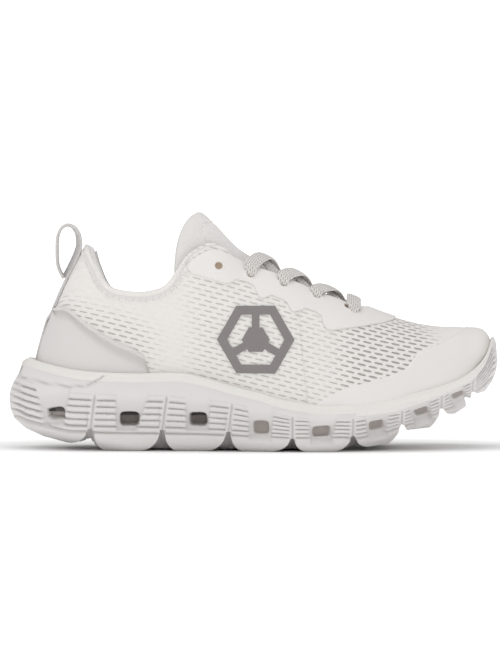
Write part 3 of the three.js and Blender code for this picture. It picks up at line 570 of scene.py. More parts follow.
def weld(obj, distance=2e-5):
    """Joins points that lie on each other."""
    bm = bmesh.new()
    bm.from_mesh(obj.data)
    bmesh.ops.remove_doubles(bm, verts=bm.verts, dist=distance)
    bmesh.ops.dissolve_degenerate(bm, edges=bm.edges, dist=1e-6)
    bm.to_mesh(obj.data)
    bm.free()


def thicken(obj, inward):
    """Gives a sheet its thickness in millimetres, inward, with the result in the mesh."""
    solid = obj.modifiers.new("thickness", "SOLIDIFY")
    solid.thickness = inward * 0.001
    solid.offset = -1
    thick = obj.evaluated_get(bpy.context.evaluated_depsgraph_get())
    made = bpy.data.meshes.new_from_object(thick)
    obj.modifiers.clear()
    old = obj.data
    obj.data = made
    bpy.data.meshes.remove(old)


def shell(name, ts, low, high, sides, cols, lift, material, strength=None):
    """A sheet on the foot between two angles on each rib, one grid for each side, welded at the
    crown; rows and runs in millimetres go with it for its pattern, and where it sits low, as at
    its sunk edge, for painted shade."""
    points, faces, rows, runs, extra, edges = [], [], [], [], [], []
    for side in sides:
        lo, hi = low(ts, side), high(ts, side)
        v = np.linspace(0, 1, cols)
        a = lo[:, None] + np.maximum(hi - lo, 0)[:, None] * v
        t = np.repeat(ts[:, None], cols, 1)
        flat = foot(t, a, side)
        steps = np.diff(flat, axis=1, prepend=flat[:, :1])
        arc = np.cumsum(np.linalg.norm(steps, axis=-1), axis=1)
        climb = np.cumsum(np.hypot(steps[..., 2], 0.8 * steps[..., 1]), axis=1)
        p = on_foot(t, a, side, lift(t, a, side, flat, arc))
        faces.append(grid_faces(len(ts), cols, start=sum(map(len, points)), flip=side > 0))
        points.append(p.reshape(-1, 3))
        rows.append((climb + flat[:, :1, 2] + 0.24 * flat[..., 0]).ravel())
        runs.append(flat[..., 0].ravel())
        if strength:
            extra.append(strength(flat, side).ravel())
        # Where the sheet sits low, as at its sunk edge; the film paints shade there.
        edges.append((1 - step(0.1, 0.75, lift(t, a, side, flat, arc))).ravel())
    obj = mesh_from(name, np.concatenate(points), np.concatenate(faces).tolist(), material)
    paint(obj, "edge", np.concatenate(edges))
    paint(obj, "row", np.concatenate(rows))
    paint(obj, "run", np.concatenate(runs))
    if strength:
        paint(obj, "slots", np.concatenate(extra))
    weld(obj)
    return obj


def ramp(tree, value, low, high):
    """A smooth 0 to 1 rise of a value from low to high."""
    return wire(tree, "ShaderNodeMapRange", {0: value, 1: low, 2: high},
                interpolation_type="SMOOTHSTEP").outputs[0]


knit_mat, tree, shader = principled("engineered_mesh", (0.8, 0.78, 0.75), 0.85,
                                    Sheen_Weight=0.25, Sheen_Roughness=0.5)
row, run = attribute(tree, "row"), attribute(tree, "run")
line = sum_of(tree, "DIVIDE", row, ROW_PITCH)
index = sum_of(tree, "FLOOR", line)
part = sum_of(tree, "SUBTRACT", line, index)
cell = sum_of(tree, "FRACT", sum_of(tree, "MULTIPLY_ADD", index, 0.5,
                                    sum_of(tree, "DIVIDE", run, HOLE_PITCH)))
height_off = sum_of(tree, "ABSOLUTE", sum_of(tree, "SUBTRACT", part, 0.5))
length_off = sum_of(tree, "ABSOLUTE", sum_of(tree, "SUBTRACT", cell, 0.5))
half_height = sum_of(tree, "MULTIPLY_ADD", attribute(tree, "slots"), 0.13, 0.08)
tall = sum_of(tree, "POWER", sum_of(tree, "DIVIDE", height_off, half_height), 2.0)
long = sum_of(tree, "POWER", sum_of(tree, "DIVIDE", length_off, 0.36), 4.0)
hole_edge = sum_of(tree, "POWER", sum_of(tree, "ADD", tall, long), 0.5)
slot = sum_of(tree, "MULTIPLY", ramp(tree, hole_edge, 1.25, 0.75), attribute(tree, "slots"))
rib_wave = sum_of(tree, "SINE", sum_of(tree, "MULTIPLY", row, 2 * math.pi / 0.92))
loop_wave = sum_of(tree, "SINE", sum_of(tree, "MULTIPLY", run, 2 * math.pi / 1.1))
fine = sum_of(tree, "MULTIPLY", rib_wave, loop_wave)
swell = sum_of(tree, "ABSOLUTE", sum_of(tree, "SUBTRACT", part, 0.5))
yarn = noise(tree, 700.0, 2.0)
relief = sum_of(tree, "MULTIPLY_ADD", slot, -0.55, sum_of(
    tree, "MULTIPLY_ADD", fine, 0.05, sum_of(tree, "MULTIPLY_ADD", yarn, 0.08, sum_of(
        tree, "MULTIPLY", swell, 0.25))))
body = mixed(tree, yarn, (0.86, 0.83, 0.795), (0.93, 0.905, 0.875))
# Painted shade: the dash-shaped holes are painted dark for the shade seen down through them.
slot_shade_tint = mixed(tree, slot, body, (0.33, 0.30, 0.275))
tree.links.new(slot_shade_tint, shader.inputs["Base Color"])
bumped(tree, shader, relief, 1.0, 0.001)


def slot_strength(p, side):
    """Holes are boldest over the toe flexing area, weaker at midfoot and none near the collar and
    throat."""
    x, z = p[..., 0], p[..., 2]
    front = step(26, 62, x) * (1 - step(92, 112, x + 0.5 * (z - 62)))
    middle = 0.42 * step(-50, -24, x) * (1 - step(26, 44, x))
    heel = 0.55 * (1 - step(-70, -42, x)) * (1 - step(72, 90, z + 0.3 * (x + 90)))
    return np.clip(0.8 * front + middle + heel, 0, 1)


ts = np.unique(np.concatenate([np.linspace(0, 1, 270), np.linspace(4.5, 5.5, 34) / LAST,
                               np.linspace(12.0, 12.6, 16) / LAST, [0.002, 0.005, 0.01, 0.995]]))
top_of = {side: crossing(ts, side, in_opening) for side in (-1, 1)}
for edge in top_of.values():
    tab = (ts > 4.75 / LAST) & (ts < 5.6 / LAST)
    for _ in range(10):
        edge[1:-1] = np.where(tab[1:-1], (edge[:-2] + 2 * edge[1:-1] + edge[2:]) / 4, edge[1:-1])


def top_angle(t, side):
    """The opening's edge at rib positions t."""
    return np.interp(t, ts, top_of[side])


knit = shell("knit_upper", ts, lambda t, s: np.zeros_like(t), top_angle, (-1, 1), 62,
             lambda t, a, s, p, arc: np.zeros_like(a), knit_mat, slot_strength)
SURFACE = BVHTree.FromPolygons([v.co for v in knit.data.vertices],
                               [list(f.vertices) for f in knit.data.polygons])


def snapped(points, lift):
    """Points moved to the nearest place on the knit and lifted off it; also the normals there."""
    found = [SURFACE.find_nearest(tuple(p * 0.001)) for p in points]
    near = np.array([f[0] for f in found]) * 1000
    n = np.array([f[1] for f in found])
    return near + n * lift, n


thicken(knit, KNIT_T)
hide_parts("quarter_lateral", "quarter_medial", "vamp", "toe_box")
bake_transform(knit)

# --- Film overlays -------------------------------------------------------------------------------
# Thin moulded film pressed onto the knit: a toe guard, a heel wrap with a raised rim, and the
# two eyestays with their stepped lower edges and punched eyelets.


def film(name, low, high, shade_at_edge):
    """Satin film mottled between two colours, with painted shade along its sunk cut edge and
    dark tan painted shade in the punched eyelets.
    """
    material, tree, shader = principled(name, low, 0.45, Coat_Weight=0.06, Coat_Roughness=0.4)
    dimple = noise(tree, 420.0, 3.0)
    drift = noise(tree, 24.0, 2.0)
    tint = mixed(tree, drift, low, high)
    # Painted shade: darker where the film sits low, along its sunk cut edge and in the heel film's
    # channel.
    outline = mixed(tree, sum_of(tree, "MULTIPLY", attribute(tree, "edge"), shade_at_edge),
                    tint, (0.5, 0.46, 0.43))
    # Painted shade: the punched eyelets are painted dark tan for the shade inside the holes.
    punched = mixed(tree, attribute(tree, "slots"), outline, (0.42, 0.31, 0.22))
    tree.links.new(punched, shader.inputs["Base Color"])
    bumped(tree, shader, dimple, 0.25, 0.0002)
    return material


film_mat = film("pressed_film", (0.85, 0.82, 0.795), (0.89, 0.865, 0.84), 0.6)
toe_mat = film("toe_film", (0.85, 0.82, 0.795), (0.89, 0.865, 0.84), 0.0)
heel_mat = film("heel_film", (0.74, 0.71, 0.695), (0.79, 0.765, 0.75), 0.45)
TOE_LINE = [[31, 25], [32.3, 27.2], [41.9, 33.8], [52, 38.3], [63.3, 41.1], [74, 43.8],
            [85.8, 48.4], [91.4, 55.1], [94.8, 57.9], [104.3, 60.8], [116.4, 66.9], [121, 68.4],
            [123, 90]]
HEEL_LINE = smooth_table(np.array([
    [-150, 76], [-125, 73], [-117, 74], [-113.5, 77.6], [-110.5, 80.6], [-107.5, 81.4],
    [-104, 79.8], [-99, 75.8], [-92, 70.9], [-84, 65.8], [-77.3, 62.2], [-70, 59.2], [-64.5, 56.2],
    [-60.5, 52.8], [-57.4, 48.6], [-55.6, 43], [-55.0, 36], [-54.8, 20]]), 8)
STAY_LINE = [[-40.5, 200], [-38.5, 108], [-37, 102], [-34.8, 99.7], [-24, 96.8], [-16, 94.0],
             [-13.5, 94.2], [-9.8, 96.2], [-3.5, 94.6], [0.4, 92.2], [1.7, 88.6], [3.4, 85.9],
             [5.6, 85.6], [10.1, 87.2], [15.5, 85.2], [19, 82.9], [20.8, 79.2], [22.6, 77.8],
             [25, 78.3], [29.5, 79.9], [34.5, 78], [38, 75.8], [39.4, 70.8], [41, 68],
             [44, 67.6], [57.7, 69.2], [66, 70.2], [73, 71.2], [79, 72.6], [85, 78]]


def rim(edge, soft, high):
    """Height profile from a patch's edge: sunk below the knit, then rising over soft
    millimetres."""
    return -0.35 + (high + 0.35) * step(0, soft, edge)


def toe_lift(t, a, side, p, arc):
    """A wide, faint rise, so the toe film melts into the knit, and a thicker cap over the toe's
    front."""
    cap = 1.9 * step(120, 130, p[..., 0]) * step(46, 56, p[..., 2])
    return rim(arc[:, -1:] - arc + 40 * (a[:, -1:] > QUARTER - 0.01), 5.0, 0.55) + cap


def heel_lift(t, a, side, p, arc):
    """A ridge 3 mm inside the upper edge, a shallow channel below it, then the panel."""
    edge = arc[:, -1:] - arc + 40 * (a[:, -1:] > QUARTER - 0.01)
    back = step(-113, -118, p[..., 0])
    lift = rim(edge, 0.8, 1.0) + 1.15 * np.exp(-((edge - 3.1) / 0.7) ** 2) * (1 - back)
    return lift - 0.75 * step(3.4, 4.3, edge) * (1 - back) + 0.85 * step(6, 20, edge)


EYELETS = np.array([[53.2, 17.6], [35.2, 18.4], [16.6, 19.8], [-2, 21.6], [-19.7, 23.8]])


def instep(x, across, lift):
    """The point over the instep at x and y offset from the middle line, lifted along the normal;
    returns the point and the normal."""
    side = -1 if across < 0 else 1
    lo, hi = 0.28, 0.9
    for _ in range(30):
        t = np.array([(lo + hi) / 2])
        reach = abs(foot(t, np.zeros(1), side)[0, 1] - foot(t, np.full(1, QUARTER), side)[0, 1])
        a = np.arccos(np.clip(np.array([abs(across) / reach]), 0, 1))
        if foot(t, a, side)[0, 0] < x:
            lo = t[0]
        else:
            hi = t[0]
    n = foot_normal(t, a, side)[0]
    return foot(t, a, side)[0] + n * lift, n


def eyelet_dip(p, side):
    """1 inside the punched eyelets and 0 outside, and the small moulded ring round each."""
    hole, ring = np.zeros(p.shape[:-1]), np.zeros(p.shape[:-1])
    for x, across in EYELETS:
        middle = instep(x, side * (across + 2.6 * (x < -10)), 0)[0]
        d = np.linalg.norm(p - middle, axis=-1)
        hole = np.maximum(hole, 1 - step(1.8, 2.4, d))
        ring = np.maximum(ring, np.exp(-((d - 3.0) / 0.5) ** 2))
    return hole, ring


def stay_lift(t, a, side, p, arc):
    """Film with eased edges, set back from the collar at the ankle, and punched eyelets in faint
    moulded rings."""
    low, high = arc, arc[:, -1:] - arc + 40 * (a[:, -1:] > QUARTER - 0.01)
    inset = 4.6 * (1 - step(-16, -8, p[..., 0]))
    lift = rim(np.minimum(low, (high - inset) * 1.3 + 0.3), 0.7, 0.95)
    hole, ring = eyelet_dip(p, side)
    return (lift + 0.35 * ring) * (1 - hole) + 0.14 * hole


toe_ts = np.unique(np.concatenate([np.linspace(9.4, 18, 230) / LAST, [0.998]]))
toe_test, heel_test = above(TOE_LINE), above(HEEL_LINE)
toe_film = shell("toe_overlay_film", toe_ts, lambda t, s: np.zeros_like(t),
                 lambda t, s: crossing(t, s, toe_test), (-1, 1), 50, toe_lift, toe_mat)
heel_ts = np.unique(np.concatenate([np.linspace(0, 5.2, 230) / LAST, [0.001, 0.003]]))
heel_film = shell("heel_overlay_film", heel_ts, lambda t, s: np.zeros_like(t),
                  lambda t, s: np.minimum(crossing(t, s, heel_test), top_angle(t, s)),
                  (-1, 1), 70, heel_lift, heel_mat)
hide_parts("toe_overlay")
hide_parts("heel_overlay")
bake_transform(toe_film)
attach(heel_film, "rearfoot")
stay_test = above(STAY_LINE)
stay_ts = np.linspace(5.9, 13.2, 450) / LAST
for side, label in ((-1, "lateral"), (1, "medial")):
    # The eyelet holes go to the film as slots and are painted with shade.
    stay = shell(f"eyestay_film_{label}", stay_ts,
                 lambda t, s: np.minimum(crossing(t, s, stay_test), top_angle(t, s)),
                 top_angle, (side,), 90, stay_lift, film_mat,
                 lambda p, s: eyelet_dip(p, s)[0])
    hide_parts(f"eyestay_{label}")
    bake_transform(stay)

# --- Collar and lining ---------------------------------------------------------------------------
# A soft padded roll round the ankle that thins out toward the throat, an overlock seam just
# below it, and a brushed lining down to the insole.
pad_mat, tree, shader = principled("collar_knit", (0.8, 0.78, 0.76), 0.9, Sheen_Weight=0.35,
                                   Sheen_Roughness=0.4)
rib_row, rib_run = attribute(tree, "row"), attribute(tree, "run")
purl = sum_of(tree, "MULTIPLY", sum_of(tree, "SINE", sum_of(tree, "MULTIPLY", rib_run, 5.2)),
              sum_of(tree, "SINE", sum_of(tree, "MULTIPLY", rib_row, 5.9)))
fuzz = noise(tree, 900.0, 3.0)
pad_tint = mixed(tree, fuzz, (0.74, 0.715, 0.69), (0.84, 0.82, 0.80))
tree.links.new(pad_tint, shader.inputs["Base Color"])
bumped(tree, shader, sum_of(tree, "MULTIPLY_ADD", purl, 0.12, fuzz), 0.6, 0.0006)

BACK_T = float(ts[np.argmax(top_of[-1] < QUARTER - 0.02)])
FRONT_T = 7.8 / LAST
rim_t = np.unique(np.concatenate([np.linspace(BACK_T, 5.15 / LAST, 44),
                                  np.linspace(5.15, 7.8, 90) / LAST]))


def rim_curve():
    """Edge of the opening from the front of one side, round the heel, to the front of the other,
    with its outward normals."""
    t = np.concatenate([rim_t[::-1], rim_t[1:]])
    side = np.concatenate([-np.ones(len(rim_t)), np.ones(len(rim_t) - 1)])
    p, n = np.zeros((len(t), 3)), np.zeros((len(t), 3))
    for s in (-1, 1):
        m = side == s
        a = top_angle(t[m], s)
        p[m], n[m] = foot(t[m], a, s), foot_normal(t[m], a, s)
    arc = run_of(p)
    even = np.arange(0, arc[-1], 0.9)
    return (even, smoothed(read_along(even, arc, p), 6),
            unit(smoothed(read_along(even, arc, n), 6)))


rim_arc, rim_p, rim_n = rim_curve()
rim_m = np.cross(unit(np.gradient(rim_p, axis=0)), rim_n)
rim_m *= np.sign(rim_m[len(rim_m) // 2, 2])
roll_r = 1.35 + 1.75 * (1 - step(-52, -36, rim_p[:, 0])) - 0.9 * step(-24, -12, rim_p[:, 0])
ring_n = np.array([0.85] + [1.12] + [math.cos(b) for b in np.radians(np.linspace(0, 180, 17))]
                  + [-1.0, -1.0])
ring_m = np.array([-1.2, -0.6] + [math.sin(b) for b in np.radians(np.linspace(0, 180, 17))]
                  + [-1.4, -2.6])
roll = (rim_p[:, None] + rim_n[:, None] * (roll_r[:, None] * (ring_n[None] - 1))[..., None]
        + rim_m[:, None] * (roll_r[:, None] * (ring_m[None] - 0.85))[..., None])
collar = mesh_from("collar_roll", roll.reshape(-1, 3),
                   grid_faces(len(rim_p), len(ring_n)).tolist(), pad_mat)
paint(collar, "run", np.repeat(rim_arc[:, None], len(ring_n), 1))
paint(collar, "row", np.repeat(np.arange(len(ring_n))[None] * 0.6, len(rim_p), 0))
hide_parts("collar_padding")
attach(collar, "rearfoot")

lining_mat, tree, shader = principled("brushed_lining", (0.74, 0.72, 0.70), 0.95,
                                      Sheen_Weight=0.5, Sheen_Roughness=0.5)
nap = noise(tree, 1100.0, 4.0)
hex_cell = on_object(tree, "ShaderNodeTexVoronoi", 520.0)
bumped(tree, shader, sum_of(tree, "MULTIPLY_ADD", hex_cell, 0.7, nap), 0.5, 0.0005)
lining_ts = ts[ts < FRONT_T + 0.06]


def lining_lift(t, a, side, p, arc):
    """Sits under the padding at the ankle and closes on the knit toward the throat."""
    depth = 2 * (0.95 + 2.15 * (1 - step(-52, -36, p[..., 0])))
    return -np.minimum(depth, 6.2) * (0.55 + 0.45 * step(36, 60, p[..., 2])) - 0.6


lining = shell("ankle_lining", lining_ts, lambda t, s: np.full_like(t, 0.12),
               lambda t, s: np.maximum(top_angle(t, s) - 0.012, 0.13), (-1, 1), 50, lining_lift,
               lining_mat)
lining.data.flip_normals()
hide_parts("collar_lining")
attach(lining, "rearfoot")


def stitch_row(name, path, normals, pitch, length, lean, radius, material):
    """Short threads lying on a path, each a capsule turned by lean from the path's direction."""
    arc = run_of(path)
    spots = np.arange(pitch, arc[-1] - pitch, pitch)
    at, up = read_along(spots, arc, path), read_along(spots, arc, normals)
    ahead = unit(read_along(spots + 0.4, arc, path) - at)
    across = np.cross(up, ahead)
    turn = np.radians(lean * np.where(np.arange(len(spots)) % 2, 1, -1))[:, None]
    way = ahead * np.cos(turn) + across * np.sin(turn)
    side_way = np.cross(up, way)
    slot = np.array([-0.5, -0.32, 0, 0.32, 0.5])[None, :, None, None]
    thin = np.array([0.3, 1.0, 1.15, 1.0, 0.3])[None, :, None, None] * radius
    b = np.linspace(0, 2 * math.pi, 6, endpoint=False)[None, None, :, None]
    arch = radius * 0.9 * (1 - (2 * slot) ** 2)
    at, up, way, side_way = (v[:, None, None] for v in (at, up, way, side_way))
    points = (at + way * slot * length + up * (np.sin(b) * thin + arch)
              + side_way * np.cos(b) * thin)
    faces = np.concatenate([grid_faces(5, 6, wrap=True, start=30 * i)
                            for i in range(len(spots))]).tolist()
    points = points.reshape(-1, 3)
    return mesh_from(name, points, faces, material)


thread_mat, tree, shader = principled("sewing_thread", (0.9, 0.88, 0.855), 0.7)
ply = on_object(tree, "ShaderNodeTexWave", 900.0, Distortion=2.0)
bumped(tree, shader, ply, 0.3, 0.0002)
seam_path, seam_n = snapped(rim_p - rim_m * 5.0, 0.12)
seam = stitch_row("collar_stitching", seam_path[4:-4], seam_n[4:-4], 1.9, 3.0, 48, 0.3, thread_mat)
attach(seam, "rearfoot")

# --- Tongue --------------------------------------------------------------------------------------
# A thin padded tongue under the laces, wrapped round the instep, with a rounded top that stands
# clear of the collar, a rounded edge and a stitched line 7 mm inside it.
tongue_mat, tree, shader = principled("tongue_jersey", (0.8, 0.78, 0.76), 0.88, Sheen_Weight=0.3,
                                      Sheen_Roughness=0.5)
tongue_row, tongue_run = attribute(tree, "row"), attribute(tree, "run")
fuzz = noise(tree, 800.0, 3.0)
weft = sum_of(tree, "MULTIPLY", sum_of(tree, "SINE", sum_of(tree, "MULTIPLY", tongue_run, 6.3)),
              sum_of(tree, "SINE", sum_of(tree, "MULTIPLY", tongue_row, 5.0)))
tongue_tint = mixed(tree, fuzz, (0.76, 0.735, 0.71), (0.85, 0.83, 0.81))
tree.links.new(tongue_tint, shader.inputs["Base Color"])
bumped(tree, shader, sum_of(tree, "MULTIPLY_ADD", weft, 0.15, fuzz), 0.6, 0.0005)


TONGUE_LONG, TONGUE_HALF = 112, 24
TONGUE_ROWS, TONGUE_COLS = 150, 71
STITCH_INSET = 7.0
rows_of = np.linspace(0, 1, TONGUE_ROWS) ** 0.9


def tongue_point(s, w, lift):
    """Tongue surface: s runs from the throat's front (0) to the top edge (1), w across from -1 to
    1."""
    far = np.abs(w)
    top = 7.1 - 0.86 * far ** 1.5
    u = 12.35 + (top - 12.35) * s
    half = np.interp(u, [6.4, 7.2, 8, 9, 10, 11, 12.4], [29, 28, 26, 21, 18.5, 17, 12])
    points = np.zeros(s.shape + (3,))
    for side in (-1, 1):
        m = (w < 0) if side < 0 else (w >= 0)
        t = u[m] / LAST
        reach = np.abs(foot(t, np.zeros_like(t), side)[:, 1] - foot(t, np.full_like(t, QUARTER),
                                                                    side)[:, 1])
        a = np.arccos(np.clip(half[m] * far[m] / reach, 0, 0.98))
        points[m] = on_foot(t, a, side, lift[m])
    return points


def tongue_mesh():
    """A thin pillow: outer and inner sheets that meet in a rounded edge, grooved by the
    stitching."""
    s, w = np.meshgrid(rows_of, np.linspace(-1, 1, TONGUE_COLS), indexing="ij")
    top_mm, side_mm = (1 - s) * TONGUE_LONG, (1 - np.abs(w)) * TONGUE_HALF
    edge = np.minimum(top_mm, side_mm)
    plump = np.sqrt(np.clip(1 - (1 - np.clip(edge / 2.6, 0, 1)) ** 2, 0, 1))
    inset = np.minimum(top_mm, side_mm * 1.15) - STITCH_INSET
    groove = np.exp(-(inset / 0.7) ** 2) * step(0.52, 0.6, s)
    thick = (3.0 + 1.1 * step(0.55, 0.9, s)) * plump - 0.9 * groove
    sink = 1.6 + 3.6 * step(0.25, 1.0, np.abs(w)) * (1 - 0.45 * step(0.86, 1.0, s))
    sink = sink + 2.3 * step(0.85, 1.0, s) * (1 - np.abs(w)) + 0.25 * np.sin(s * 46) * step(
        0.1, 0.3, 1 - np.abs(w)) * (1 - step(0.5, 0.6, s))
    middle = -sink - 1.9
    outer = tongue_point(s, w, middle + thick / 2)
    inner = tongue_point(s, w, middle - thick / 2)
    n = s.size
    grid = (TONGUE_ROWS, TONGUE_COLS)
    faces = np.concatenate([grid_faces(*grid), grid_faces(*grid, start=n, flip=True)])
    obj = mesh_from("tongue_pad", np.concatenate([outer.reshape(-1, 3), inner.reshape(-1, 3)]),
                    faces.tolist(), tongue_mat)
    paint(obj, "row", np.concatenate([(s * TONGUE_LONG).ravel()] * 2))
    paint(obj, "run", np.concatenate([(w * TONGUE_HALF).ravel()] * 2))
    weld(obj, 4e-5)
    return obj, outer


tongue, tongue_top = tongue_mesh()
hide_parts("tongue", "tongue_tip")
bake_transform(tongue)

near_top = int(np.argmin(np.abs((1 - rows_of) * TONGUE_LONG - STITCH_INSET)))
trace = tongue_top[near_top, 10:-10]
trace_n = np.cross(np.gradient(trace, axis=0), tongue_top[near_top, 10:-10]
                   - tongue_top[near_top - 3, 10:-10])
trace_n = unit(trace_n) * np.sign(trace_n[len(trace_n) // 2, 2])
tongue_seam = stitch_row("tongue_stitching", trace + trace_n * 0.1, trace_n, 2.6, 2.0, 0, 0.24,
                         thread_mat)
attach(tongue_seam, "tongue_end")

# --- Lace ----------------------------------------------------------------------------------------
# One flat braided cord: a bar over the front eyelets, then crossings that dive into each next
# pair, with both ends tucked under the top edge. It bunches up in the eyelets.
UNDER, OVER = -4.3, 2.7
TURN = (OVER - UNDER) / 2
LACE_WIDE, LACE_THICK = 8.4, 1.9


def lace_half(sign, first):
    """Stops of one half of the cord, from the front bar to the tucked end, as points with
    normals."""
    stops = []

    def put(x, across, lift):
        stops.append(instep(x, across, lift))

    def hole(k, s, up):
        x, h = EYELETS[k] if k else (55.8, 20.6)
        for turn in (-90, -45, 0, 45, 90):
            r = math.radians(turn if up else -turn)
            put(x, s * (h - TURN + TURN * math.cos(r)), (OVER + UNDER) / 2 + TURN * math.sin(r))

    put(55.8, sign * 8, OVER + 0.2)
    hole(0, sign, False)
    s = sign
    for k in range(3):
        x, h = EYELETS[k]
        nx, nh = EYELETS[k + 1]
        high = first * (1 if k % 2 else -1) > 0
        put(x + (nx - x) * 0.05, s * (h - TURN) * 0.82, UNDER)
        put(x + (nx - x) * 0.22, s * (h - TURN) * 0.52, -1.2 if high else -2.4)
        put((x + nx) / 2, 0, 2.3 if high else -0.6)
        put(x + (nx - x) * 0.78, -s * (nh - TURN) * 0.6, 2.9 if high else 1.9)
        s = -s
        hole(k + 1, s, False)
    put(-8, s * 18.6, UNDER)
    put(-15, s * 20.4, UNDER - 0.3)
    return stops


def sweep(name, centre, wide, flat, profile, material):
    """A closed tube whose cross-section is profile in the wide and flat directions, with capped
    ends; run and row are stored along and around it."""
    profile = np.broadcast_to(profile, (len(centre),) + profile.shape[-2:])
    rings = (centre[:, None] + wide[:, None] * profile[..., :1]
             + flat[:, None] * profile[..., 1:])
    n, m = rings.shape[:2]
    faces = grid_faces(n, m, wrap=True).tolist()
    faces += [list(range(m))[::-1], list(range((n - 1) * m, n * m))]
    obj = mesh_from(name, rings.reshape(-1, 3), faces, material)
    paint(obj, "run", np.repeat(run_of(centre)[:, None], m, 1))
    paint(obj, "row", profile[..., 0])
    return obj


def oval(width, thick, count, square=2.6):
    """A superellipse cross-section."""
    b = np.linspace(0, 2 * math.pi, count, endpoint=False)
    c, s = np.cos(b), np.sin(b)
    return np.stack([np.sign(c) * np.abs(c) ** (2 / square) * width / 2,
                     np.sign(s) * np.abs(s) ** (2 / square) * thick / 2], -1)


lace_mat, tree, shader = principled("braided_lace", (0.7, 0.68, 0.66), 0.85, Sheen_Weight=0.3)
run, row = attribute(tree, "run"), attribute(tree, "row")
left = sum_of(tree, "FRACT", sum_of(tree, "ADD", sum_of(tree, "DIVIDE", run, 1.7),
                                    sum_of(tree, "MULTIPLY", sum_of(tree, "ABSOLUTE", row), 0.55)))
strand = sum_of(tree, "FRACT", sum_of(tree, "DIVIDE", sum_of(tree, "ADD", row, 10.0), 0.85))
bump_a = sum_of(tree, "SINE", sum_of(tree, "MULTIPLY", left, 2 * math.pi))
bump_b = sum_of(tree, "SINE", sum_of(tree, "MULTIPLY", strand, math.pi))
yarn_row = sum_of(tree, "DIVIDE", sum_of(tree, "ADD", row, 10.0), 1.3)
yarn_gap = sum_of(tree, "LESS_THAN", sum_of(tree, "FRACT", yarn_row), 0.34)
dash = sum_of(tree, "FRACT", sum_of(tree, "MULTIPLY_ADD", sum_of(tree, "FLOOR", yarn_row), 0.5,
                                    sum_of(tree, "DIVIDE", run, 2.3)))
fleck = sum_of(tree, "MULTIPLY", yarn_gap, sum_of(tree, "LESS_THAN", dash, 0.66))
lace_tint = mixed(tree, fleck, (0.84, 0.81, 0.78), (0.47, 0.415, 0.385))
tree.links.new(lace_tint, shader.inputs["Base Color"])
bumped(tree, shader, sum_of(tree, "MULTIPLY_ADD", bump_a, 0.35, bump_b), 0.7, 0.00035)

stops = [*lace_half(-1, 1)[::-1], instep(55.8, 0, OVER), *lace_half(1, -1)]
stop_p = np.array([p for p, _ in stops])
stop_n = np.array([n for _, n in stops])
fine_u = np.linspace(0, len(stops) - 1, 900)
lace_c = smoothed(spline(stop_p, fine_u), 5)
arc = run_of(lace_c)
even = np.arange(0, arc[-1], 0.5)
up = read_along(fine_u, np.arange(len(stops)), stop_n)
lace_c, up = read_along(even, arc, lace_c), read_along(even, arc, up)
way = unit(np.gradient(lace_c, axis=0))
turn = np.clip((np.abs(np.sum(way * up, 1)) - 0.25) * 2, 0, 1)[:, None]
wide = np.cross(way, up)
shoe_x = np.array([1.0, 0, 0]) - way * way[:, :1]
shoe_x *= np.sign(np.sum(wide * shoe_x, 1))[:, None]
wide = wide * (1 - turn) + shoe_x * turn
wide = smoothed(wide, 10)
wide = unit(wide - way * np.sum(wide * way, 1)[:, None])
face = np.cross(wide, way)
bunch = smoothed(turn[:, 0], 8)
size = np.stack([LACE_WIDE - 3.4 * bunch, LACE_THICK + 0.9 * bunch], -1)
flat_oval = oval(1.0, 1.0, 24, 2.3)[None] * size[:, None]
lace = sweep("lace_cord", lace_c, wide, face, flat_oval, lace_mat)
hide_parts("lace")
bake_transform(lace)

# --- Heel tape and pull loop ---------------------------------------------------------------------
# Ribbed webbing: a tape up the back seam that turns into a loop above the collar.
web_mat, tree, shader = principled("ribbed_webbing", (0.82, 0.80, 0.79), 0.75, Sheen_Weight=0.3)
run, row = attribute(tree, "run"), attribute(tree, "row")
cords = sum_of(tree, "ABSOLUTE", sum_of(tree, "SINE", sum_of(tree, "MULTIPLY", row, math.pi)))
picks = sum_of(tree, "ABSOLUTE", sum_of(tree, "SINE", sum_of(tree, "MULTIPLY", run,
                                                             math.pi / 0.75)))
# Painted shade: the weave is painted darker between the cords and picks, in step with the bump.
web_groove_shade_tint = mixed(tree, sum_of(tree, "MULTIPLY", cords, picks),
                 (0.70, 0.68, 0.665), (0.86, 0.84, 0.83))
tree.links.new(web_groove_shade_tint, shader.inputs["Base Color"])
bumped(tree, shader, sum_of(tree, "MULTIPLY_ADD", picks, 0.5, cords), 0.8, 0.0004)


def ribbon(name, path, width, thick, steps, roll=(0, 0)):
    """A flat webbing along a side-view path centred on y = 0, its width across the shoe, rolled
    about its run by degrees that go from roll's first to its last."""
    c = spline(np.array([[x, 0, z] for x, z in path], float), np.linspace(0, len(path) - 1, steps))
    way = unit(np.gradient(c, axis=0))
    wide = np.repeat(np.array([[0, 1.0, 0]]), steps, 0)
    face = np.cross(wide, way)
    b = np.radians(roll[0] + (roll[1] - roll[0]) * step(0.35, 0.75, np.linspace(0, 1, steps)))
    wide, face = (wide * np.cos(b)[:, None] + face * np.sin(b)[:, None],
                  face * np.cos(b)[:, None] - wide * np.sin(b)[:, None])
    return sweep(name, c, wide, face, oval(width, thick, 22, 5.0), web_mat)


back_t = np.linspace(0.9, 4.05, 30) / LAST
crown = np.full_like(back_t, QUARTER)
back, back_n = foot(back_t, crown, -1), foot_normal(back_t, crown, -1)
tape_line = (back + back_n * (1.85 - 1.05 * step(72, 77, back[:, 2]))[:, None])[:, [0, 2]]
tape = ribbon("heel_tape", tape_line.tolist(), 10.6, 1.3, 90)
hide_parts("heel_strip")
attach(tape, "rearfoot")
LOOP = [[-107.3, 96.2], [-110.4, 103], [-111, 112], [-110.6, 119.6], [-108.6, 124.2],
        [-105.2, 126.2], [-101.8, 125.0], [-99.4, 121.4], [-98.5, 116.5], [-99.3, 111.6],
        [-103.0, 103.2], [-106.4, 96.6]]
loop = ribbon("pull_loop_webbing", LOOP, 10.2, 1.7, 170, (3, 16))
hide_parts("loop_stem", "pull_loop")
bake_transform(loop)

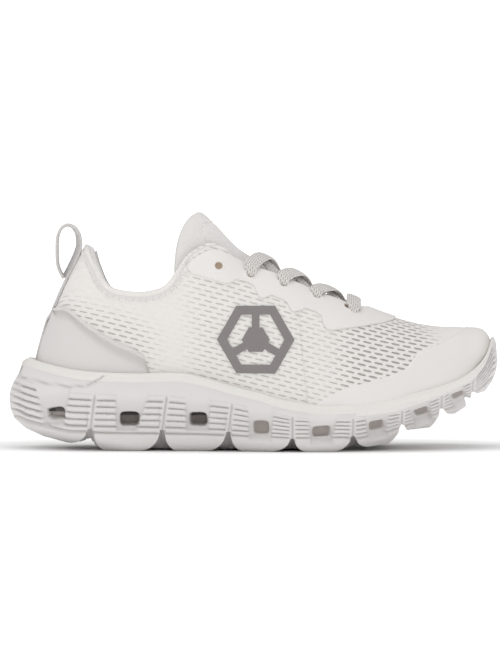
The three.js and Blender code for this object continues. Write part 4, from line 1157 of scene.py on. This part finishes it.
# --- Insole and hidden stiffeners ----------------------------------------------------------------
# A cupped foam insole under brushed cloth lies on a thin fibreboard that bends with the shoe. The
# counter, puff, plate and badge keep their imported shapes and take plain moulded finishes.
sock_mat, tree, shader = principled("insole_cloth", (0.60, 0.585, 0.575), 0.95, Sheen_Weight=0.4)
nap = noise(tree, 900.0, 4.0)
weave = on_object(tree, "ShaderNodeTexVoronoi", 620.0)
sock_tint = mixed(tree, nap, (0.54, 0.525, 0.515), (0.68, 0.665, 0.655))
tree.links.new(sock_tint, shader.inputs["Base Color"])
bumped(tree, shader, sum_of(tree, "ADD", nap, weave), 0.5, 0.0004)


def floor_slab(name, ends, inset, low, high, cup, material):
    """A plan-shaped slab between the base curves, inset from them, between two heights over the
    base; its top rises at the border by cup times the fifth power of the distance from the
    middle."""
    rows, cols = 120, 40
    t = np.linspace(*ends, rows)
    zero = np.zeros_like(t)
    left, right = foot(t, zero, -1), foot(t, zero, 1)
    w = np.linspace(0, 1, cols)
    grid = left[:, None] + (right - left)[:, None] * w[None, :, None]
    middle = (left + right)[:, None] / 2
    shrink = np.clip(1 - inset / (np.linalg.norm(right - left, axis=1) / 2), 0.2, 1)[:, None, None]
    grid = middle + (grid - middle) * shrink
    top, under = grid.copy(), grid.copy()
    top[..., 2] += high + cup * np.abs(2 * w - 1)[None] ** 5
    under[..., 2] += low
    ring = np.concatenate([top, under[:, ::-1]], 1)
    faces = grid_faces(rows, 2 * cols, wrap=True).tolist()
    last = (rows - 1) * 2 * cols
    faces += [list(range(2 * cols)), list(range(last, last + 2 * cols))[::-1]]
    return mesh_from(name, ring.reshape(-1, 3), faces, material)


insole = floor_slab("insole_pad", (0.035, 0.965), 3.2, 3.4, 6.9, 2.2, sock_mat)
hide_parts("insole")
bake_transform(insole)


def plain_finish(name, colour, rough, scale, depth):
    """A fine-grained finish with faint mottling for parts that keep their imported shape."""
    material, tree, shader = principled(name, colour, rough)
    grain = noise(tree, scale, 4.0)
    light = tuple(min(1.0, c * 1.12) for c in colour)
    tint = mixed(tree, grain, colour, light)
    tree.links.new(tint, shader.inputs["Base Color"])
    bumped(tree, shader, grain, 0.4, depth)
    return material


def finish_node(node, material):
    """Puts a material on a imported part's own object."""
    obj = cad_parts[node]
    obj = obj if isinstance(obj, bpy.types.Object) else bpy.data.objects[node]
    for slot in obj.material_slots:
        slot.material = material
    if not obj.material_slots:
        obj.data.materials.append(material)


board = floor_slab("lasting_sheet", (0.03, 0.97), 2.9, 1.6, 3.1, 0.0,
                   plain_finish("fibre_board", (0.62, 0.57, 0.5), 0.9, 500.0, 0.0003))
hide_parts("lasting_board")
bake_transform(board)
stiff_mat = plain_finish("stiffener_sheet", (0.68, 0.67, 0.65), 0.8, 400.0, 0.0002)
finish_node("heel_counter", stiff_mat)
finish_node("toe_puff", stiff_mat)
finish_node("shank_plate", plain_finish("moulded_plate", (0.02, 0.019, 0.019), 0.5, 300.0, 0.0002))
finish_node("side_badge", plain_finish("badge_film", (0.235, 0.215, 0.21), 0.5, 700.0, 0.00015))
